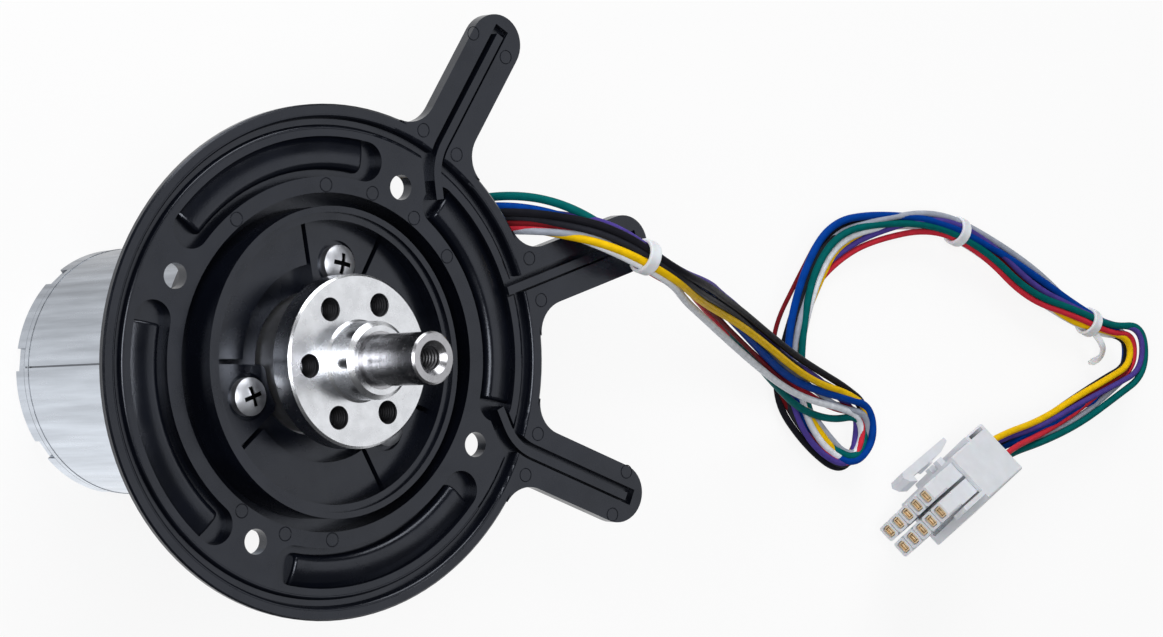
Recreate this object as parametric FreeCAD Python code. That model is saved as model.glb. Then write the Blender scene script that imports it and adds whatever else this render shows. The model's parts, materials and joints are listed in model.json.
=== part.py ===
import FreeCAD, Part
import math
import os

Vector = FreeCAD.Vector
UP = Vector(0, 0, 1)
ORIGIN = Vector(0, 0, 0)

# Wheel motor standing on the rear face of its can. Millimetres and degrees.
# Z is the wheel axis, pointing out of the hub, and X points along the middle arm.

# Driving dimensions: can and end pieces
CAN_R = 27.3
CAN_WALL = 1.2
CAN_TOP_Z = 65.3
CAN_SEAM_ANGLE = 158.7
CAN_SEAM_WIDTH = 0.4
CAN_SEAM_DEPTH = 0.35
CAP_THICK = 3.0
CAP_BOSS_WALL = 2.0
CAP_NOTCHES = 8
CAP_NOTCH_FIRST_ANGLE = 155.0
CAP_NOTCH_WIDTH = 5.0
CAP_NOTCH_DEPTH = 0.9
BELL_THICK = 3.2
BELL_BOSS_R = 14.5
BELL_SPIGOT_WALL = 2.6

# Driving dimensions: moulded flange
LEAN = 6.0
RIM_PLANE_Z = 77.7
RIM_R = 54.3
RIM_FLAT = 2.7
RIM_THICK = 2.4
RIM_GROOVE = 2.0
RIM_GROOVE_DEPTH = 1.9
RIM_ROUND = 0.8
LAND_DROP = 0.8
LAND_IN_R = 35.7
PLATE_THICK = 4.4
SKIRT_WALL = 2.5
BOLT_PCD = 82.4
BOLT_COUNT = 4
BOLT_FIRST_ANGLE = 45.0
BOLT_HOLE_R = 2.7
BOLT_SPOT_R = 4.6
BOLT_GRIP = 3.1
KIDNEY_R = 43.3
KIDNEY_WIDTH = 8.5
KIDNEY_HALF_ANGLE = 31.0
KIDNEY_DEPTH = 2.6
RIDGE_HALF_ANGLE = 30.5
RIDGE_DROP = 0.3
RIDGE_CREST_IN = 0.9
RIDGE_FOOT_IN = 2.8
RIDGE_SLOPE = 1.4
RIDGE_END_ROUND = 0.8
ARM_ANGLES = (-40.6, -0.6, 39.4)
ARM_WIDTH = 13.0
ARM_TIP_R = 80.2
ARM_THICK = 3.0
ARM_ROOT_FILLET = 7.0
RIB_WIDTH = 1.8
RIB_RISE = 0.15
RIB_MOAT = (0.55, 1.25)
RIB_MOAT_DEPTH = 1.9
RIB_END = 2.2
RIB_MOAT_END = 3.9
ROOT_CORNER_R = 50.4
ROOT_BEND_R = 12.0
ROOT_MOAT = 2.0
ROOT_LEAD = 1.6
COLLAR_R = 32.8
COLLAR_WALL = 2.9
COLLAR_TOP_Z = 79.6
COLLAR_STEP_WIDTH = 1.3
COLLAR_STEP_DROP = 0.8
BOWL_FLOOR = 3.0
MOAT_FLOOR = 1.5
PAD_HEIGHT = 3.5
PAD_IN_R = 21.0
PAD_GROOVE_WIDTH = 1.1
PAD_GROOVE_ANGLE = 20.0

# Driving dimensions: fastening screws
SCREW_PCD = 42.4
SCREW_COUNT = 3
SCREW_FIRST_ANGLE = 60.0
SCREW_R = 2.0
SCREW_HEAD_R = 4.0
SCREW_HEAD_HEIGHT = 3.1
SCREW_HEAD_EDGE = 1.9
SCREW_CROSS = (4.4, 0.95, 1.6)
SCREW_REACH = 2.8
SCREW_SEAT_DROP = 0.7
SCREW_RECESS_R = 5.0

# Driving dimensions: hub and output shaft
HUB_R = 18.25
HUB_FACE_Z = 87.2
HUB_THICK = 6.0
HUB_NECK_R = 8.4
HUB_BOSS_R = 8.2
HUB_BOSS_LENGTH = 7.3
HUB_CHAMFER = 0.5
HUB_BOLT_PCD = 26.0
HUB_BOLT_COUNT = 6
HUB_BOLT_FIRST_ANGLE = -15.0
HUB_BOLT_R = 2.5
STUB_R = 5.45
STUB_TIP_Z = 111.7
STUB_THREAD_R = 2.5
STUB_THREAD_DEPTH = 16.0
STUB_CHAMFER = 0.4
STUB_MOUTH = 1.1
SHAFT_R = 6.0
SHAFT_SHOULDER = 1.4
CLIP_THICK = 1.0
CLIP_RISE = 2.0
CLIP_GROOVE_DEPTH = 0.25

# Driving dimensions: ball bearings, as bore radius, outer radius and width
OUTPUT_BEARING = (SHAFT_R, 10.5, 5.0)
MOTOR_SHAFT_R = 3.0
REAR_BEARING = (MOTOR_SHAFT_R, 9.5, 6.0)
MIDDLE_BEARING = (MOTOR_SHAFT_R, 6.5, 5.0)
BEARING_RACE = 0.36
BEARING_SPACER = 2.0
BEARING_FLOOR = 2.2

# Driving dimensions: brushless motor
STATOR_BASE_Z = 11.0
STATOR_LENGTH = 20.0
STATOR_BORE_R = 13.3
STATOR_YOKE = 3.4
STATOR_TEETH = 12
TOOTH_WIDTH = 3.2
SHOE_THICK = 1.5
SHOE_HALF_ANGLE = 12.0
COIL_OVERHANG = 3.4
COIL_WIDTH = 1.6
COIL_IN_R = 15.6
MAGNET_COUNT = 8
MAGNET_THICK = 3.4
MAGNET_GAP_ANGLE = 2.0
AIR_GAP = 0.5
BOARD_THICK = 1.6
BOARD_GAP = 0.3
BOARD_EDGE = 1.0
BOARD_IN_R = 14.5
SENSOR_SIZE = (4.0, 3.0, 1.5)
SENSOR_STEP = 40.0
SENSOR_COUNT = 3

# Driving dimensions: two planet stages that share one toothed ring
GEAR_MODULE = 1.0
PRESSURE_ANGLE = math.radians(25.0)
SUN_TEETH = 15
PLANET_TEETH = 15
PLANETS = 3
RING_TEETH = SUN_TEETH + 2 * PLANET_TEETH
ADDENDUM = 1.0
DEDENDUM = 1.25
BACKLASH = 0.1
FLANK_STEPS = 2
GEAR_WIDTH = 5.8
GEAR_GAP = 0.5
CARRIER_THICK = 2.0
PIN_R = 2.0
PIN_CLEARANCE = 0.04
WALL_THICK = 2.5
WALL_BOSS_WALL = 2.4
WALL_BASE_Z = 43.6

# Driving dimensions: harness, ties and plug
GROMMET_Z = 38.8
GROMMET_ANGLE = 15.0
GROMMET_R = 4.6
GROMMET_LIP = 1.2
GROMMET_LENGTH = 3.4
HARNESS_R = 2.8
TIE_WIDTH = 4.2
TIE_THICK = 1.1
TIE_HEAD = (5.0, 4.6, 3.6)
TIE_CLEARANCE = 0.3
PIN_PITCH = 4.2
ROW_PITCH = 5.5
PLUG_COLUMNS = 5
PLUG_BLOCK_LENGTH = 19.0
PLUG_BLOCK_WIDTH = 23.4
PLUG_LATCH_SIDE = 6.1
PLUG_FAR_SIDE = 8.4
PLUG_COLLAR_LENGTH = 9.0
PLUG_COLLAR_RISE = 1.6
PLUG_POCKET_DEPTH = 3.0
PLUG_WALL = 1.2
PLUG_EDGE = 0.6
PLUG_BLADE_LENGTH = 8.5
PLUG_GUARD = (10.5, 4.6, 1.3)
PLUG_SLOT = (6.6, 1.0)
SILO_LENGTH = 6.5
SILO_SIZE = (3.9, 4.6)
SILO_EDGE = 0.5
SILO_HOLE = (2.7, 3.3)
TERMINAL_SIZE = (2.3, 2.9)
TERMINAL_WALL = 0.4
TERMINAL_SETBACK = 0.5
LATCH_WIDTH = 5.2
LATCH_THICK = 2.5
LATCH_GAP = 3.2
LATCH_REAR = 0.8
LATCH_FRONT = 23.8
LATCH_PIVOT = 13.2
LATCH_HOOK = 1.8
LATCH_LEG = 1.5
LATCH_BEAD_R = 0.7
LATCH_CLEARANCE = 0.3
PLUG_REAR = Vector(240.6, -113.2, 13.9)
PLUG_FORWARD = Vector(-0.978, -0.070, 0.196)
PLUG_ROW = Vector(-0.131, -0.523, -0.842)
PLUG_LEAD = 13.0
GROMMET_LEAD = 11.8

# Fits between pieces that stay together, and between pieces that turn
SEAT = 0.05
RUNNING = 0.4

# Share of a run that each of its two bends may take up
BEND_SHARE = 0.45

# The bundle's line from the grommet, over the middle arm, down to the floor and on to the plug
HARNESS_ROUTE = [
    Vector(51.5, 13.7, 45.6), Vector(56.0, 14.8, 57.0), Vector(60.5, 13.6, 71.5), Vector(63.6, 10.6, 84.8),
    Vector(70.4, 3.2, 94.0), Vector(84.6, -6.6, 95.4), Vector(101.4, -17.6, 83.0),
    Vector(121.8, -28.1, 60.0), Vector(141.4, -39.3, 44.4), Vector(160.9, -51.0, 30.6),
    Vector(180.5, -63.4, 18.6), Vector(194.8, -72.7, 11.0), Vector(207.1, -81.0, 6.0),
    Vector(216.9, -87.0, 3.6), Vector(215.4, -96.5, 3.0), Vector(206.2, -98.9, 3.0),
    Vector(197.8, -88.4, 3.2), Vector(193.4, -74.1, 3.0), Vector(197.3, -61.5, 3.2),
    Vector(209.6, -48.2, 3.0), Vector(221.7, -40.2, 3.6), Vector(237.4, -41.2, 4.0),
    Vector(259.1, -47.5, 4.6), Vector(275.7, -60.7, 4.6), Vector(289.2, -77.4, 4.4),
    Vector(302.0, -90.0, 4.6), Vector(313.2, -99.0, 4.8), Vector(323.0, -103.2, 6.4),
    Vector(320.6, -114.4, 7.2), Vector(306.4, -116.0, 7.2), Vector(290.6, -114.0, 8.0),
    Vector(272.4, -114.4, 10.0),
]
TIE_RUNS = (6, 24, 27)


# Plain shapes
def cylinder(r, z0, z1, x=0.0, y=0.0):
    return Part.makeCylinder(r, z1 - z0, Vector(x, y, z0))


def ring(r_in, r_out, z0, z1):
    return cylinder(r_out, z0, z1).cut(cylinder(r_in, z0, z1))


def polar(r, degrees, z=0.0):
    angle = math.radians(degrees)
    return Vector(r * math.cos(angle), r * math.sin(angle), z)


def turned(shape, degrees):
    copy = shape.copy()
    copy.rotate(ORIGIN, UP, degrees)
    return copy


def spread(shape, count, first=0.0):
    return [turned(shape, first + 360.0 * step / count) for step in range(count)]


def section(points):
    """A closed outline of (radius, height) points in the XZ plane."""
    corners = [Vector(r, 0, z) for r, z in points]
    return Part.Face(Part.makePolygon(corners + corners[:1]))


def revolved(points, degrees=360.0):
    return section(points).revolve(ORIGIN, UP, degrees)


def arc_block(r_in, r_out, z0, z1, half_angle):
    """A piece of a ring, centred on the X axis."""
    outline = [(r_in, z0), (r_out, z0), (r_out, z1), (r_in, z1)]
    return turned(revolved(outline, 2 * half_angle), -half_angle)


def box(size_x, size_y, z0, z1, x=0.0, y=0.0):
    """A box centred on x and y."""
    corner = Vector(x - size_x / 2.0, y - size_y / 2.0, z0)
    return Part.makeBox(size_x, size_y, z1 - z0, corner)


def joined(shapes):
    return shapes[0].fuse(list(shapes[1:])).removeSplitter()


def edges_along_x(shape):
    return [edge for edge in shape.Edges if abs(edge.tangentAt(edge.FirstParameter).x) > math.sqrt(0.5)]


def tilted(shape):
    """From the flange's own frame, with its rim plane at zero, to the motor's frame."""
    copy = shape.copy()
    copy.rotate(ORIGIN, Vector(0, 1, 0), -LEAN)
    copy.translate(Vector(0, 0, RIM_PLANE_Z))
    return copy


# Heights and radii that follow from the driving dimensions
CAN_IN_R = CAN_R - CAN_WALL
BELL_TOP_Z = CAN_TOP_Z + BELL_THICK
CAP_BOSS_R = REAR_BEARING[1] + CAP_BOSS_WALL
REAR_BEARING_Z = BEARING_FLOOR
STATOR_TOP_Z = STATOR_BASE_Z + STATOR_LENGTH
COIL_TOP_Z = STATOR_TOP_Z + COIL_OVERHANG
BOARD_Z = COIL_TOP_Z + BOARD_GAP
MAGNET_R = STATOR_BORE_R - AIR_GAP
ROTOR_CORE_R = MAGNET_R - MAGNET_THICK
WALL_TOP_Z = WALL_BASE_Z + WALL_THICK
MIDDLE_BEARING_Z = WALL_TOP_Z - MIDDLE_BEARING[2]
PLANET_ORBIT = GEAR_MODULE * (SUN_TEETH + PLANET_TEETH) / 2.0
FIRST_GEARS_Z = WALL_TOP_Z + GEAR_GAP
FIRST_CARRIER_Z = FIRST_GEARS_Z + GEAR_WIDTH + GEAR_GAP
SECOND_SUN_Z = FIRST_CARRIER_Z + CARRIER_THICK
SECOND_GEARS_Z = SECOND_SUN_Z + GEAR_GAP
OUTPUT_CARRIER_Z = SECOND_GEARS_Z + GEAR_WIDTH + GEAR_GAP
RING_TOP_Z = OUTPUT_CARRIER_Z
LOWER_BEARING_Z = CAN_TOP_Z
UPPER_BEARING_Z = LOWER_BEARING_Z + OUTPUT_BEARING[2] + BEARING_SPACER
UPPER_BEARING_TOP_Z = UPPER_BEARING_Z + OUTPUT_BEARING[2]
HUB_BASE_Z = HUB_FACE_Z - HUB_THICK
HUB_BOSS_TOP_Z = HUB_FACE_Z + HUB_BOSS_LENGTH
HUB_NECK_Z = UPPER_BEARING_TOP_Z + CLIP_THICK + SEAT
PAD_TOP_Z = BELL_TOP_Z + BOWL_FLOOR + PAD_HEIGHT
SCREW_SEAT_Z = PAD_TOP_Z - SCREW_SEAT_DROP
COLLAR_IN_R = COLLAR_R - COLLAR_WALL


# Flange, in its own frame with the rim's front at zero
def is_ring_edge(edge, radius, z):
    """Whether an edge is the circle of that radius and height round the axis."""
    if not isinstance(edge.Curve, Part.Circle):
        return False
    return abs(edge.Curve.Radius - radius) < SEAT and abs(edge.Curve.Center.z - z) < SEAT


def plate_disc():
    groove_out = RIM_R - RIM_FLAT
    groove_in = groove_out - RIM_GROOVE
    edge = RIM_THICK / 3.0
    base = -LAND_DROP - PLATE_THICK
    disc = revolved([
        (LAND_IN_R, base), (groove_in - edge, base), (groove_out, -RIM_GROOVE_DEPTH - RIM_THICK),
        (RIM_R - RIM_THICK, -RIM_THICK), (RIM_R - edge, -RIM_THICK), (RIM_R, -2 * edge),
        (RIM_R, -edge / 2.0), (RIM_R - edge / 2.0, 0), (groove_out, 0),
        (groove_out - edge / 2.0, -RIM_GROOVE_DEPTH), (groove_in + edge / 2.0, -RIM_GROOVE_DEPTH),
        (groove_in, -LAND_DROP), (LAND_IN_R, -LAND_DROP),
    ])
    lips = [edge for edge in disc.Edges if is_ring_edge(edge, groove_out, 0)]
    lips += [edge for edge in disc.Edges if is_ring_edge(edge, groove_in, -LAND_DROP)]
    return disc.makeFillet(RIM_ROUND, lips)


def arm_slab():
    """The middle arm: straight sides, round tip and filleted root on the rim."""
    half = ARM_WIDTH / 2.0
    fillet_y = half + ARM_ROOT_FILLET
    reach = RIM_R + ARM_ROOT_FILLET
    fillet_x = math.sqrt(reach * reach - fillet_y * fillet_y)
    root_x = fillet_x * RIM_R / reach
    root_y = fillet_y * RIM_R / reach
    bend = math.atan2(fillet_y, fillet_x) / 2.0 + math.pi / 4.0
    bend_x = fillet_x - ARM_ROOT_FILLET * math.cos(bend)
    bend_y = fillet_y - ARM_ROOT_FILLET * math.sin(bend)
    edges = [
        Part.Arc(Vector(root_x, -root_y, 0), Vector(bend_x, -bend_y, 0), Vector(fillet_x, -half, 0)),
        Part.LineSegment(Vector(fillet_x, -half, 0), Vector(ARM_TIP_R, -half, 0)),
        Part.Arc(Vector(ARM_TIP_R, -half, 0), Vector(ARM_TIP_R + half, 0, 0), Vector(ARM_TIP_R, half, 0)),
        Part.LineSegment(Vector(ARM_TIP_R, half, 0), Vector(fillet_x, half, 0)),
        Part.Arc(Vector(fillet_x, half, 0), Vector(bend_x, bend_y, 0), Vector(root_x, root_y, 0)),
        Part.LineSegment(Vector(root_x, root_y, 0), Vector(root_x, -root_y, 0)),
    ]
    outline = Part.Face(Part.Wire([edge.toShape() for edge in edges]))
    return outline.extrude(Vector(0, 0, -ARM_THICK))


def strip(start, end, right, left, z0, z1):
    """A straight band that reaches to the right and left of its line."""
    along = end - start
    band = plug_box(0, along.Length, -right, left, z0, z1)
    band.rotate(ORIGIN, UP, math.degrees(math.atan2(along.y, along.x)))
    band.translate(Vector(start.x, start.y, 0))
    return band


def bent_strip(start, corner, end, right, left, z0, z1):
    """The band round a corner: the tangent arc there, and the points where it starts and ends."""
    back = start - corner
    ahead = end - corner
    back.normalize()
    ahead.normalize()
    half_turn = (math.pi - back.getAngle(ahead)) / 2.0
    reach = ROOT_BEND_R * math.tan(half_turn)
    inside = back + ahead
    inside.normalize()
    centre = corner + inside * (ROOT_BEND_R / math.cos(half_turn))
    if back.cross(ahead).z < 0:
        near, far = left, right
    else:
        near, far = right, left
    band = arc_block(ROOT_BEND_R - near, ROOT_BEND_R + far, z0, z1, math.degrees(half_turn))
    outward = corner - centre
    band.rotate(ORIGIN, UP, math.degrees(math.atan2(outward.y, outward.x)))
    band.translate(Vector(centre.x, centre.y, 0))
    return band, corner + back * reach, corner + ahead * reach


def arm_band(angle, side, tip_r, right, left, root_right, root_left, levels):
    """A band along an arm from its tip. On an outer arm it bends towards the ridge between the arms."""
    arm_z, root_z, top = levels
    tip = polar(tip_r, angle)
    if not side:
        inner = polar(KIDNEY_R + KIDNEY_WIDTH / 2.0, angle)
        return strip(tip, inner, right, left, arm_z, top)
    corner = polar(ROOT_CORNER_R, angle)
    end = polar(KIDNEY_R + RIB_WIDTH / 2.0, side * (RIDGE_HALF_ANGLE + 2.0))
    bend, first, last = bent_strip(tip, corner, end, right, left, arm_z, top)
    pieces = [bend, strip(tip, first, right, left, arm_z, top)]
    pieces.append(strip(last, end, root_right, root_left, root_z, top))
    if root_right > right or root_left > left:
        ahead = end - corner
        ahead.normalize()
        pieces.append(strip(corner - ahead * ROOT_LEAD, last, root_right, root_left, arm_z, top))
    return joined(pieces)


def arm_moat(angle, side):
    """Trough round the rib, wider where it runs past an outer arm's root."""
    right, left = RIB_WIDTH / 2.0 + RIB_MOAT[1], RIB_WIDTH / 2.0 + RIB_MOAT[0]
    root_right, root_left = right, left
    if side > 0:
        root_right = RIB_WIDTH / 2.0 + ROOT_MOAT
    if side < 0:
        root_left = RIB_WIDTH / 2.0 + ROOT_MOAT
    levels = (-RIB_MOAT_DEPTH, -LAND_DROP - KIDNEY_DEPTH, RIM_FLAT)
    return arm_band(angle, side, ARM_TIP_R + RIB_MOAT_END, right, left, root_right, root_left, levels)


def arm_rib(angle, side):
    half = RIB_WIDTH / 2.0
    levels = (-ARM_THICK, -LAND_DROP - KIDNEY_DEPTH - SEAT, RIB_RISE)
    return arm_band(angle, side, ARM_TIP_R + RIB_END, half, half, half, half, levels)


def kidney_recess():
    floor = -LAND_DROP - KIDNEY_DEPTH
    half = KIDNEY_WIDTH / 2.0
    top = RIM_FLAT
    sector = arc_block(KIDNEY_R - half, KIDNEY_R + half, floor, top, KIDNEY_HALF_ANGLE)
    ends = [polar(KIDNEY_R, side * KIDNEY_HALF_ANGLE) for side in (-1, 1)]
    rounds = [cylinder(half, floor, top, end.x, end.y) for end in ends]
    return joined([sector] + rounds)


def crest_arc(crest, foot):
    """Arc that is level at the crest and falls to the foot of a slope. Offset and height."""
    across = foot[0] - crest[0]
    fall = crest[1] - foot[1]
    bend = (across * across + fall * fall) / (2.0 * fall)
    half_turn = math.atan2(fall, abs(across))
    via_x = crest[0] + math.copysign(bend * math.sin(half_turn), across)
    via_z = crest[1] - bend * (1.0 - math.cos(half_turn))
    points = [Vector(crest[0], 0, crest[1]), Vector(via_x, 0, via_z), Vector(foot[0], 0, foot[1])]
    return Part.Arc(*points)


def kidney_ridge():
    """Stiffening ridge: a round inner side, a long slope out to the recess wall and rounded ends."""
    floor = -LAND_DROP - KIDNEY_DEPTH
    crest = (KIDNEY_R - RIDGE_CREST_IN, -LAND_DROP - RIDGE_DROP)
    inner = (KIDNEY_R - RIDGE_FOOT_IN, crest[1] - RIDGE_FOOT_IN + RIDGE_CREST_IN)
    outer = (KIDNEY_R + KIDNEY_WIDTH / 2.0 + SEAT, crest[1] - RIDGE_SLOPE)
    inner_foot, outer_foot = Vector(inner[0], 0, floor), Vector(outer[0], 0, floor)
    edges = [
        crest_arc(crest, inner), Part.LineSegment(Vector(inner[0], 0, inner[1]), inner_foot),
        Part.LineSegment(inner_foot, outer_foot), Part.LineSegment(outer_foot, Vector(outer[0], 0, outer[1])),
        crest_arc(crest, outer),
    ]
    outline = Part.Face(Part.Wire(Part.__sortEdges__([edge.toShape() for edge in edges])))
    run = turned(outline.revolve(ORIGIN, UP, 2 * RIDGE_HALF_ANGLE), -RIDGE_HALF_ANGLE)
    tops = []
    for face in run.Faces:
        if isinstance(face.Surface, Part.Plane) and abs(face.normalAt(0, 0).z) < SEAT:
            tops += [edge for edge in face.Edges if isinstance(edge.Curve, Part.Circle)]
    return run.makeFillet(RIDGE_END_ROUND, tops)


def flange_skirt():
    """Wall from the plate's inner edge down to the bowl, cut level with the bell."""
    depth = RIM_R * math.tan(math.radians(LEAN)) + RIM_PLANE_Z - BELL_TOP_Z
    wall = tilted(ring(LAND_IN_R, LAND_IN_R + SKIRT_WALL, -depth, -LAND_DROP))
    keep = cylinder(RIM_R, BELL_TOP_Z, COLLAR_TOP_Z + depth)
    return wall.common(keep)


def bowl():
    """Collar, floor and screw pads, round the wheel axis."""
    floor_z = BELL_TOP_Z + BOWL_FLOOR
    hole_r = BELL_BOSS_R + 2 * RUNNING
    pieces = [
        ring(hole_r, LAND_IN_R + SKIRT_WALL / 2.0, BELL_TOP_Z, BELL_TOP_Z + MOAT_FLOOR),
        revolved([
            (hole_r, BELL_TOP_Z), (COLLAR_R, BELL_TOP_Z), (COLLAR_R, COLLAR_TOP_Z),
            (COLLAR_R - COLLAR_STEP_WIDTH, COLLAR_TOP_Z),
            (COLLAR_R - COLLAR_STEP_WIDTH, COLLAR_TOP_Z - COLLAR_STEP_DROP),
            (COLLAR_IN_R, COLLAR_TOP_Z - COLLAR_STEP_DROP), (COLLAR_IN_R, floor_z), (hole_r, floor_z),
        ]),
        ring(PAD_IN_R, COLLAR_IN_R + SEAT, floor_z - SEAT, PAD_TOP_Z),
    ]
    seat = cylinder(SCREW_RECESS_R + SKIRT_WALL, floor_z - SEAT, PAD_TOP_Z, SCREW_PCD / 2.0)
    pieces += spread(seat, SCREW_COUNT, SCREW_FIRST_ANGLE)
    return joined(pieces).cut(cylinder(hole_r, BELL_TOP_Z, COLLAR_TOP_Z))


def bowl_cuts():
    floor_z = BELL_TOP_Z + BOWL_FLOOR
    reach = COLLAR_IN_R - SCREW_PCD / 2.0 + SCREW_RECESS_R
    groove = box(reach, PAD_GROOVE_WIDTH, floor_z, PAD_TOP_Z + RUNNING, COLLAR_IN_R - reach / 2.0)
    counterbore = cylinder(SCREW_RECESS_R, SCREW_SEAT_Z, PAD_TOP_Z + RUNNING, SCREW_PCD / 2.0)
    hole = cylinder(SCREW_R + 2 * SEAT, BELL_TOP_Z, PAD_TOP_Z, SCREW_PCD / 2.0)
    cuts = []
    for side in (-1, 1):
        cuts += spread(groove, SCREW_COUNT, SCREW_FIRST_ANGLE + side * PAD_GROOVE_ANGLE)
    cuts += spread(counterbore, SCREW_COUNT, SCREW_FIRST_ANGLE)
    cuts += spread(hole, SCREW_COUNT, SCREW_FIRST_ANGLE)
    return cuts


def flange_plate():
    arms = [turned(arm_slab(), angle) for angle in ARM_ANGLES]
    plate = joined([plate_disc()] + arms)
    sides = list(zip(ARM_ANGLES, (-1, 0, 1)))
    plate = plate.cut(spread(kidney_recess(), BOLT_COUNT) + [arm_moat(angle, side) for angle, side in sides])
    ribs = [arm_rib(angle, side) for angle, side in sides]
    plate = joined([plate] + spread(kidney_ridge(), BOLT_COUNT) + ribs)
    base = -LAND_DROP - PLATE_THICK
    bolt = joined([
        cylinder(BOLT_HOLE_R, base, RIM_FLAT, BOLT_PCD / 2.0),
        cylinder(BOLT_SPOT_R, base, -LAND_DROP - BOLT_GRIP, BOLT_PCD / 2.0),
    ])
    plate = plate.cut(spread(bolt, BOLT_COUNT, BOLT_FIRST_ANGLE))
    dish = joined([flange_skirt(), bowl()])
    return joined([dish, tilted(plate)]).cut(bowl_cuts())


# Can, ends and screws
def motor_can():
    can = ring(CAN_IN_R, CAN_R, CAP_THICK, CAN_TOP_Z)
    seam = box(2 * CAN_SEAM_DEPTH, CAN_SEAM_WIDTH, CAP_THICK, CAN_TOP_Z, CAN_R)
    hole = grommet_plug(GROMMET_R + SEAT, CAN_IN_R - CAN_WALL, CAN_R + CAN_WALL)
    return can.cut([turned(seam, CAN_SEAM_ANGLE), hole])


def rear_end_cap():
    cap = joined([
        cylinder(CAN_R, 0, CAP_THICK), cylinder(CAN_IN_R - SEAT, 0, CAP_THICK + CAN_WALL),
        cylinder(CAP_BOSS_R, 0, REAR_BEARING_Z + REAR_BEARING[2]),
    ])
    pocket = cylinder(REAR_BEARING[1] + SEAT, REAR_BEARING_Z, STATOR_BASE_Z)
    notch = box(2 * CAP_NOTCH_DEPTH, CAP_NOTCH_WIDTH, 0, CAP_THICK, CAN_R)
    hollow = ring(CAP_BOSS_R + CAP_THICK, CAN_IN_R - CAP_THICK, CAP_THICK, STATOR_BASE_Z)
    return cap.cut([pocket, hollow] + spread(notch, CAP_NOTCHES, CAP_NOTCH_FIRST_ANGLE))


def front_end_bell():
    bell = joined([
        cylinder(CAN_R, CAN_TOP_Z, BELL_TOP_Z),
        ring(CAN_IN_R - SEAT - BELL_SPIGOT_WALL, CAN_IN_R - SEAT, RING_TOP_Z, BELL_TOP_Z),
        cylinder(BELL_BOSS_R, CAN_TOP_Z, UPPER_BEARING_TOP_Z),
    ])
    bore = cylinder(OUTPUT_BEARING[1] + SEAT, RING_TOP_Z, UPPER_BEARING_TOP_Z + HUB_THICK)
    tapped = cylinder(SCREW_R + SEAT, CAN_TOP_Z, BELL_TOP_Z, SCREW_PCD / 2.0)
    return bell.cut([bore] + spread(tapped, SCREW_COUNT, SCREW_FIRST_ANGLE))


def mounting_screws():
    shank = cylinder(SCREW_R, BELL_TOP_Z - SCREW_REACH, SCREW_SEAT_Z + SEAT)
    top = SCREW_SEAT_Z + SCREW_HEAD_HEIGHT
    dome = SCREW_HEAD_HEIGHT - SCREW_HEAD_EDGE
    dome_r = (SCREW_HEAD_R ** 2 + dome ** 2) / (2 * dome)
    half_r = SCREW_HEAD_R / 2.0
    start = Vector(SCREW_HEAD_R, 0, SCREW_SEAT_Z + SCREW_HEAD_EDGE)
    via = Vector(half_r, 0, top - dome_r + math.sqrt(dome_r ** 2 - half_r ** 2))
    edges = [
        Part.LineSegment(Vector(0, 0, SCREW_SEAT_Z), Vector(SCREW_HEAD_R, 0, SCREW_SEAT_Z)),
        Part.LineSegment(Vector(SCREW_HEAD_R, 0, SCREW_SEAT_Z), start),
        Part.Arc(start, via, Vector(0, 0, top)),
        Part.LineSegment(Vector(0, 0, top), Vector(0, 0, SCREW_SEAT_Z)),
    ]
    head = Part.Face(Part.Wire([edge.toShape() for edge in edges])).revolve(ORIGIN, UP, 360.0)
    length, width, depth = SCREW_CROSS
    slot = box(length, width, top - depth, top)
    screw = joined([shank, head]).cut([slot, turned(slot, 90.0)])
    screw.translate(Vector(SCREW_PCD / 2.0, 0, 0))
    return Part.makeCompound(spread(screw, SCREW_COUNT, SCREW_FIRST_ANGLE))


# Ball bearings: an outer and an inner ring, with the shields' running gap between them
def outer_race(bearing, z):
    bore, outer, width = bearing
    return ring(outer - BEARING_RACE * (outer - bore), outer, z, z + width)


def inner_race(bearing, z):
    bore, outer, width = bearing
    return ring(bore + SEAT, outer - BEARING_RACE * (outer - bore) - RUNNING, z, z + width)


# Brushless motor
def stator_core():
    yoke_in = CAN_IN_R - SEAT - STATOR_YOKE
    yoke = ring(yoke_in, CAN_IN_R - SEAT, STATOR_BASE_Z, STATOR_TOP_Z)
    length = yoke_in + STATOR_YOKE / 2.0 - STATOR_BORE_R - SHOE_THICK / 2.0
    middle = STATOR_BORE_R + SHOE_THICK / 2.0 + length / 2.0
    tooth = box(length, TOOTH_WIDTH, STATOR_BASE_Z, STATOR_TOP_Z, middle)
    shoe = arc_block(STATOR_BORE_R, STATOR_BORE_R + SHOE_THICK, STATOR_BASE_Z, STATOR_TOP_Z, SHOE_HALF_ANGLE)
    return joined([yoke] + spread(tooth, STATOR_TEETH) + spread(shoe, STATOR_TEETH))


def stator_windings():
    out_r = CAN_IN_R - 2 * SEAT - STATOR_YOKE - RUNNING
    length = out_r - COIL_IN_R
    middle = COIL_IN_R + length / 2.0
    tooth = TOOTH_WIDTH + 2 * SEAT
    outer = box(length, tooth + 2 * COIL_WIDTH, STATOR_BASE_Z - COIL_OVERHANG, COIL_TOP_Z, middle)
    inner = box(length, tooth, STATOR_BASE_Z - SEAT, STATOR_TOP_Z + SEAT, middle)
    along = edges_along_x(outer)
    coil = outer.makeFillet(COIL_WIDTH, along).cut(inner)
    return Part.makeCompound(spread(coil, STATOR_TEETH))


def hall_sensor_board():
    board = ring(BOARD_IN_R, CAN_IN_R - BOARD_EDGE, BOARD_Z, BOARD_Z + BOARD_THICK)
    size_x, size_y, height = SENSOR_SIZE
    top = BOARD_Z + BOARD_THICK
    sensor = box(size_x, size_y, top - SEAT, top + height, BOARD_IN_R + size_x / 2.0 + RUNNING)
    return joined([board] + [turned(sensor, SENSOR_STEP * step) for step in range(SENSOR_COUNT)])


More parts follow.
